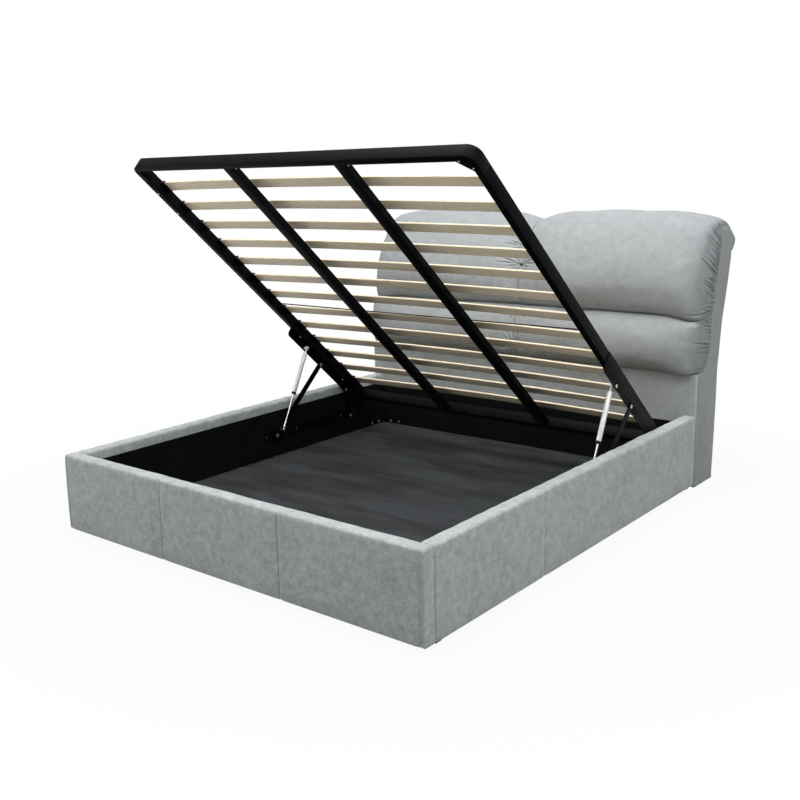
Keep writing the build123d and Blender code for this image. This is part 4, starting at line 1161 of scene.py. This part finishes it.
def cushion_skin(name, outlines, inside, count, crown_shift, sags, creases_of, seed):
    """The right-hand cushion of a row: a closed skin from the middle seam to the seam on the side."""
    full, middle, end = [smooth_line(headboard_points(outline), count) for outline in outlines]
    inner = np.array(headboard_points(inside))
    grid = settled(skin_rows(full, middle, end, crown_shift, *sags))
    grid = np.swapaxes(halved(np.swapaxes(halved(grid), 0, 1)), 0, 1)
    steps = np.linalg.norm(np.diff(grid, axis=0), axis=2)
    from_middle = np.concatenate([np.zeros((1, grid.shape[1])), np.cumsum(steps, axis=0)])
    from_end = from_middle[-1] - from_middle
    arc = length_along(grid[len(grid) // 3])
    along = np.tile(arc, (len(grid), 1))

    def arc_at(row, height):
        return arc[np.argmax(row[:, 2] >= height)]

    end_creases, middle_creases = creases_of(
        lambda height: arc_at(grid[-1], height), lambda height: arc_at(grid[0], height),
    )
    outward = np.cross(np.gradient(grid, axis=1), np.gradient(grid, axis=0))
    outward /= np.maximum(np.linalg.norm(outward, axis=2, keepdims=True), 1e-9)
    if outward[len(grid) // 2, grid.shape[1] // 3, 1] > 0:
        outward = -outward
    edge_fade = np.clip(np.minimum(arc, arc[-1] - arc) / fade_reach, 0, 1)[None, :]
    seam_fade = np.clip(np.minimum(from_end, from_middle) / fade_reach, 0, 1)
    places = grid.reshape(-1, 3)
    lumps = 0.0028 * swell(places, 0.24, seed) + 0.0009 * swell(places, 0.075, seed + 1)
    pleats = np.sin(along * 2 * math.pi / 0.019 + 3 * np.sin(along * 31))
    gathers = 0.0011 * np.exp(-from_end / 0.022) * pleats
    press = crease_depth(from_end, along, end_creases) + crease_depth(from_middle, along, middle_creases)
    push = lumps.reshape(grid.shape[:2]) * edge_fade * seam_fade + gathers * edge_fade
    push -= press * np.clip(edge_fade + 0.25, 0, 1) * np.clip(from_end / 0.004, 0, 1)
    piece = skin_piece(name, *closed_skin(grid + outward * push[:, :, None], inner))
    smooth(piece, 60)
    return piece


def mirrored(piece, name):
    """A copy of a piece on the bed's other side, with its own mesh."""
    twin = piece.copy()
    twin.data = piece.data.copy()
    twin.name = twin.data.name = name
    bpy.context.scene.collection.objects.link(twin)
    twin.data.transform(Matrix.Scale(-1, 4, (1, 0, 0)))
    turn_outwards(twin)
    return twin


# %% [markdown]
# The middle cushions are the smaller ones and stand on the ledge. Their creases leave the side seam nearly
# level, and short ones spread like a star from two tight points on the middle seam. A bump could show creases
# too, but pressed into the skin they also change its outline against the light.

# %% Middle cushions
mid_full = [
    (2122, 531), (2090, 534), (2062, 562), (2046, 610), (2043, 660), (2052, 715), (2070, 760), (2096, 787),
    (2122, 798),
]
mid_middle = [
    (2150, 531), (2128, 533), (2104, 552), (2086, 592), (2082, 640), (2090, 700), (2108, 752), (2130, 784),
    (2150, 798),
]
mid_end = [
    (2192, 532), (2200, 538), (2216, 560), (2232, 592), (2246, 630), (2255, 680), (2260, 730), (2262, 770),
    (2262, 798),
]
mid_inside = [(2268, 798), (2264, 752), (2247, 620), (2200, 532)]


def mid_creases(end_arc, middle_arc):
    """The middle cushion's creases, from the heights where they leave its seams."""
    return (
        seam_creases(11, end_arc(0.572), end_arc(0.80), 0.018, 0.155, (0.16, 0.02)),
        star_creases(21, [middle_arc(0.606), middle_arc(0.790)], 7, 0.10),
    )


mid_cushion = cushion_skin(
    "mid_cushion_velvet_right", (mid_full, mid_middle, mid_end), mid_inside, 78, 0.35,
    (0.037, 0.028, 0.8475), mid_creases, 31,
)
print("middle cushion:", len(mid_cushion.data.polygons), "faces")

# %% [markdown]
# The top cushions roll over the headboard and end on its back. They are full and heavy, so the creases at the
# side seam are longer and lean upwards, and three tight points on the middle seam gather them. They are made
# as the middle ones are, from outlines of their own, so that the two rows meet in one crease.

# %% Top cushions
top_full = [
    (2122, 801), (2096, 812), (2076, 846), (2070, 890), (2074, 940), (2088, 1000), (2114, 1062), (2156, 1132),
    (2214, 1202), (2284, 1254), (2360, 1277), (2428, 1268), (2484, 1236), (2520, 1188), (2533, 1138),
    (2522, 1098), (2500, 1079),
]
top_middle = [
    (2150, 801), (2130, 810), (2122, 840), (2126, 880), (2136, 930), (2156, 988), (2182, 1042), (2218, 1100),
    (2256, 1156), (2306, 1198), (2366, 1217), (2424, 1212), (2472, 1190), (2502, 1156), (2512, 1124),
    (2506, 1094), (2490, 1079),
]
top_end = [
    (2262, 801), (2272, 812), (2286, 846), (2292, 880), (2300, 936), (2316, 990), (2332, 1040), (2344, 1090),
    (2354, 1140), (2376, 1176), (2416, 1193), (2454, 1184), (2484, 1168), (2508, 1150), (2526, 1129),
    (2512, 1098), (2486, 1079),
]
top_inside = [
    (2480, 1077), (2420, 1077), (2340, 1077), (2320, 1010), (2303, 936), (2284, 870), (2264, 803),
]


def top_creases(end_arc, middle_arc):
    """The top cushion's creases, from the heights where they leave its seams."""
    return (
        seam_creases(12, end_arc(0.830), end_arc(1.190), 0.019, 0.190, (0.14, 0.32)),
        star_creases(22, [middle_arc(0.824), middle_arc(1.018), middle_arc(1.10)], 8, 0.12),
    )


top_cushion = cushion_skin(
    "top_cushion_velvet_right", (top_full, top_middle, top_end), top_inside, 200, 0.5,
    (0.028, 0.0, 2.0), top_creases, 41,
)
for piece, node in ((mid_cushion, "mid_cushion"), (top_cushion, "top_cushion")):
    twin = mirrored(piece, node + "_velvet_left")
    for one, side in ((piece, "right"), (twin, "left")):
        stand_for(one, f"{node}_{side}", "cushion_fabric", cushion_velvet)
print("top cushion:", len(top_cushion.data.polygons), "faces")

# %% [markdown]
# A smooth band closes each end of the headboard, from the floor up to the roll's end. The cushions end at its
# front edge in a gathered seam. It is drawn as one outline, filled, extruded to its thickness and rounded.

# %% Side bands
band_front = [(2115, -15), (2115, 515), (2122, 524), (2140, 529)]
band_slope = [
    (2186, 533), (2216, 562), (2245, 620), (2258, 690), (2262, 750), (2266, 800), (2284, 850), (2300, 936),
    (2322, 1010), (2342, 1085), (2356, 1145), (2378, 1178), (2416, 1193), (2450, 1186), (2484, 1168),
    (2510, 1150), (2526, 1129), (2512, 1098), (2482, 1078),
]
band_rear = [
    (2475, 1032), (2442, 906), (2394, 755), (2353, 522), (2346, 360), (2331, 156), (2319, 14), (2319, -15),
]
slope = smooth_line(headboard_points(band_slope), 140)
outline = np.vstack([headboard_points(band_front), slope, headboard_points(band_rear)])
band_inside, band_outside = 0.9662, 0.978
for side, name in SIDES:
    inner_x, outer_x = band_inside * side, band_outside * side
    points = [(inner_x, y, z) for y, z in outline]
    band = new_piece(f"headboard_band_{name}", points, [tuple(range(len(points)))])
    choose_faces(band, lambda face: True)
    bpy.ops.mesh.extrude_region_move(TRANSFORM_OT_translate={"value": (outer_x - inner_x, 0, 0)})
    bpy.ops.object.mode_set(mode="OBJECT")
    turn_outwards(band)

    def rim(first, second):
        return abs(first.x - outer_x) < 1e-4 and abs(second.x - outer_x) < 1e-4

    round_edges(band, rim, 0.004)
    smooth(band, 50)
    stand_for(band, f"headboard_side_cover_{name}", "headboard_fabric", headboard_velvet)
print("side bands:", len(outline), "outline points")

# %% [markdown]
# Below the cushions the headboard's front is a thin flat pad, whose cloth runs on over the ledge that carries
# the cushions. The back is cloth pulled tight over a board.

# %% Lower pad and back
ledge_bottom, ledge_top, ledge_rear, ledge_overlap = 0.5462, 0.5476, 0.9235, 0.01
pad_low, pad_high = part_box("headboard_lower_pad")
lower_pad = block("headboard_lower_velvet", pad_low, pad_high)
round_edges(lower_pad, lambda first, second: max(first.y, second.y) < pad_low.y + 0.001, 0.005)
even_faces(lower_pad, (0.022, 0.02, 0.02))
ledge = block(
    "ledge_velvet", (pad_low.x, pad_high.y - ledge_overlap, ledge_bottom),
    (pad_high.x, ledge_rear, ledge_top),
)
choose(lower_pad)
ledge.select_set(True)
bpy.ops.object.join()
places, directions = places_of(lower_pad), directions_of(lower_pad)
front = np.clip(-directions[:, 1], 0, 1)
move_points(lower_pad, places + directions * (0.0012 * swell(places, 0.2, 51) * front)[:, None])
smooth(lower_pad, 50)
stand_for(lower_pad, "headboard_lower_pad", "headboard_fabric", headboard_velvet)
back_cloth = rounded_copy("headboard_back_panel", 0.003, 3)
stand_for(back_cloth, "headboard_back_panel", "headboard_fabric", headboard_velvet)
print("lower pad and back covered")

# %% [markdown]
# The bed stands on a plain pale floor. The camera sees the floor as white, more so away from the bed, and
# near the bed it still keeps a faint shadow. A white floor could do that too, but it would throw too much
# light up into the raised platform, so for all other light the floor is a middle grey.

# %% Floor
white = {"Color": (1, 1, 1, 1), "Strength": 1.0}
deselect_all()
bpy.ops.mesh.primitive_plane_add(size=60, location=(0, 0, 0))
ground = bpy.context.object
ground.name = ground.data.name = "studio_floor"
ground_finish, tree, shader = new_finish("studio_floor")
feed(tree, shader, {"Base Color": grey(0.38), "Roughness": 0.9, "Specular IOR Level": 0.0})
glow = add_node(tree, "ShaderNodeEmission", white)
rays = add_node(tree, "ShaderNodeLightPath").outputs
from_bed = add_node(tree, "ShaderNodeVectorMath", {0: own_place(tree)}, operation="LENGTH").outputs["Value"]
whiteness = ranged(tree, from_bed, 1.5, 2.6, 0.94, 1.0, interpolation_type="SMOOTHSTEP")
seen = larger(tree, add_share(tree, rays["Is Camera Ray"], whiteness), rays["Is Glossy Ray"])
mixed = add_node(tree, "ShaderNodeMixShader", {0: seen, 1: shader.outputs[0], 2: glow.outputs[0]})
feed(tree, tree.nodes["Material Output"], {"Surface": mixed.outputs[0]})
ground.data.materials.append(ground_finish)

# %% [markdown]
# The light is even, as in a studio. One wide lamp hangs overhead and a smaller one over the headboard, one
# stands to the right and a weaker one in front on the left, so that tops are lighter than sides and sides
# lighter than fronts. A picture of a room could light the bed too, but lamps can be set one by one. The
# room's dim light fills the rest, and the camera sees the room as white.

# %% World and lamps
world = bpy.data.worlds.new("studio")
bpy.context.scene.world = world
world.use_nodes = True
tree = world.node_tree
tree.nodes.clear()
rays = add_node(tree, "ShaderNodeLightPath").outputs
room = add_node(tree, "ShaderNodeBackground", {"Color": (0.97, 0.985, 1.0, 1), "Strength": 0.18})
backdrop = add_node(tree, "ShaderNodeBackground", white)
seen = larger(tree, rays["Is Camera Ray"], rays["Is Glossy Ray"])
mixed = add_node(tree, "ShaderNodeMixShader", {0: seen, 1: room.outputs[0], 2: backdrop.outputs[0]})
add_node(tree, "ShaderNodeOutputWorld", {"Surface": mixed.outputs[0]})


def soft_lamp(name, place, target, size, watts):
    """A square soft lamp that faces a point."""
    data = bpy.data.lights.new(name, "AREA")
    data.energy, data.size, data.shape = watts, size, "SQUARE"
    lamp = bpy.data.objects.new(name, data)
    bpy.context.scene.collection.objects.link(lamp)
    lamp.location = place
    lamp.rotation_euler = (Vector(target) - Vector(place)).to_track_quat("-Z", "Y").to_euler()


soft_lamp("overhead", (0.4, -0.8, 4.6), target=(0, 0, 0.3), size=4.5, watts=360)
soft_lamp("overhead_head", (0.3, 1.2, 4.4), target=(0, 1.0, 0.5), size=3.0, watts=40)
soft_lamp("right", (5.0, -1.6, 3.4), target=(0.3, -0.2, 0.4), size=3.0, watts=108)
soft_lamp("front_left", (-3.8, -4.6, 2.2), target=(-0.4, -0.8, 0.3), size=2.5, watts=92)
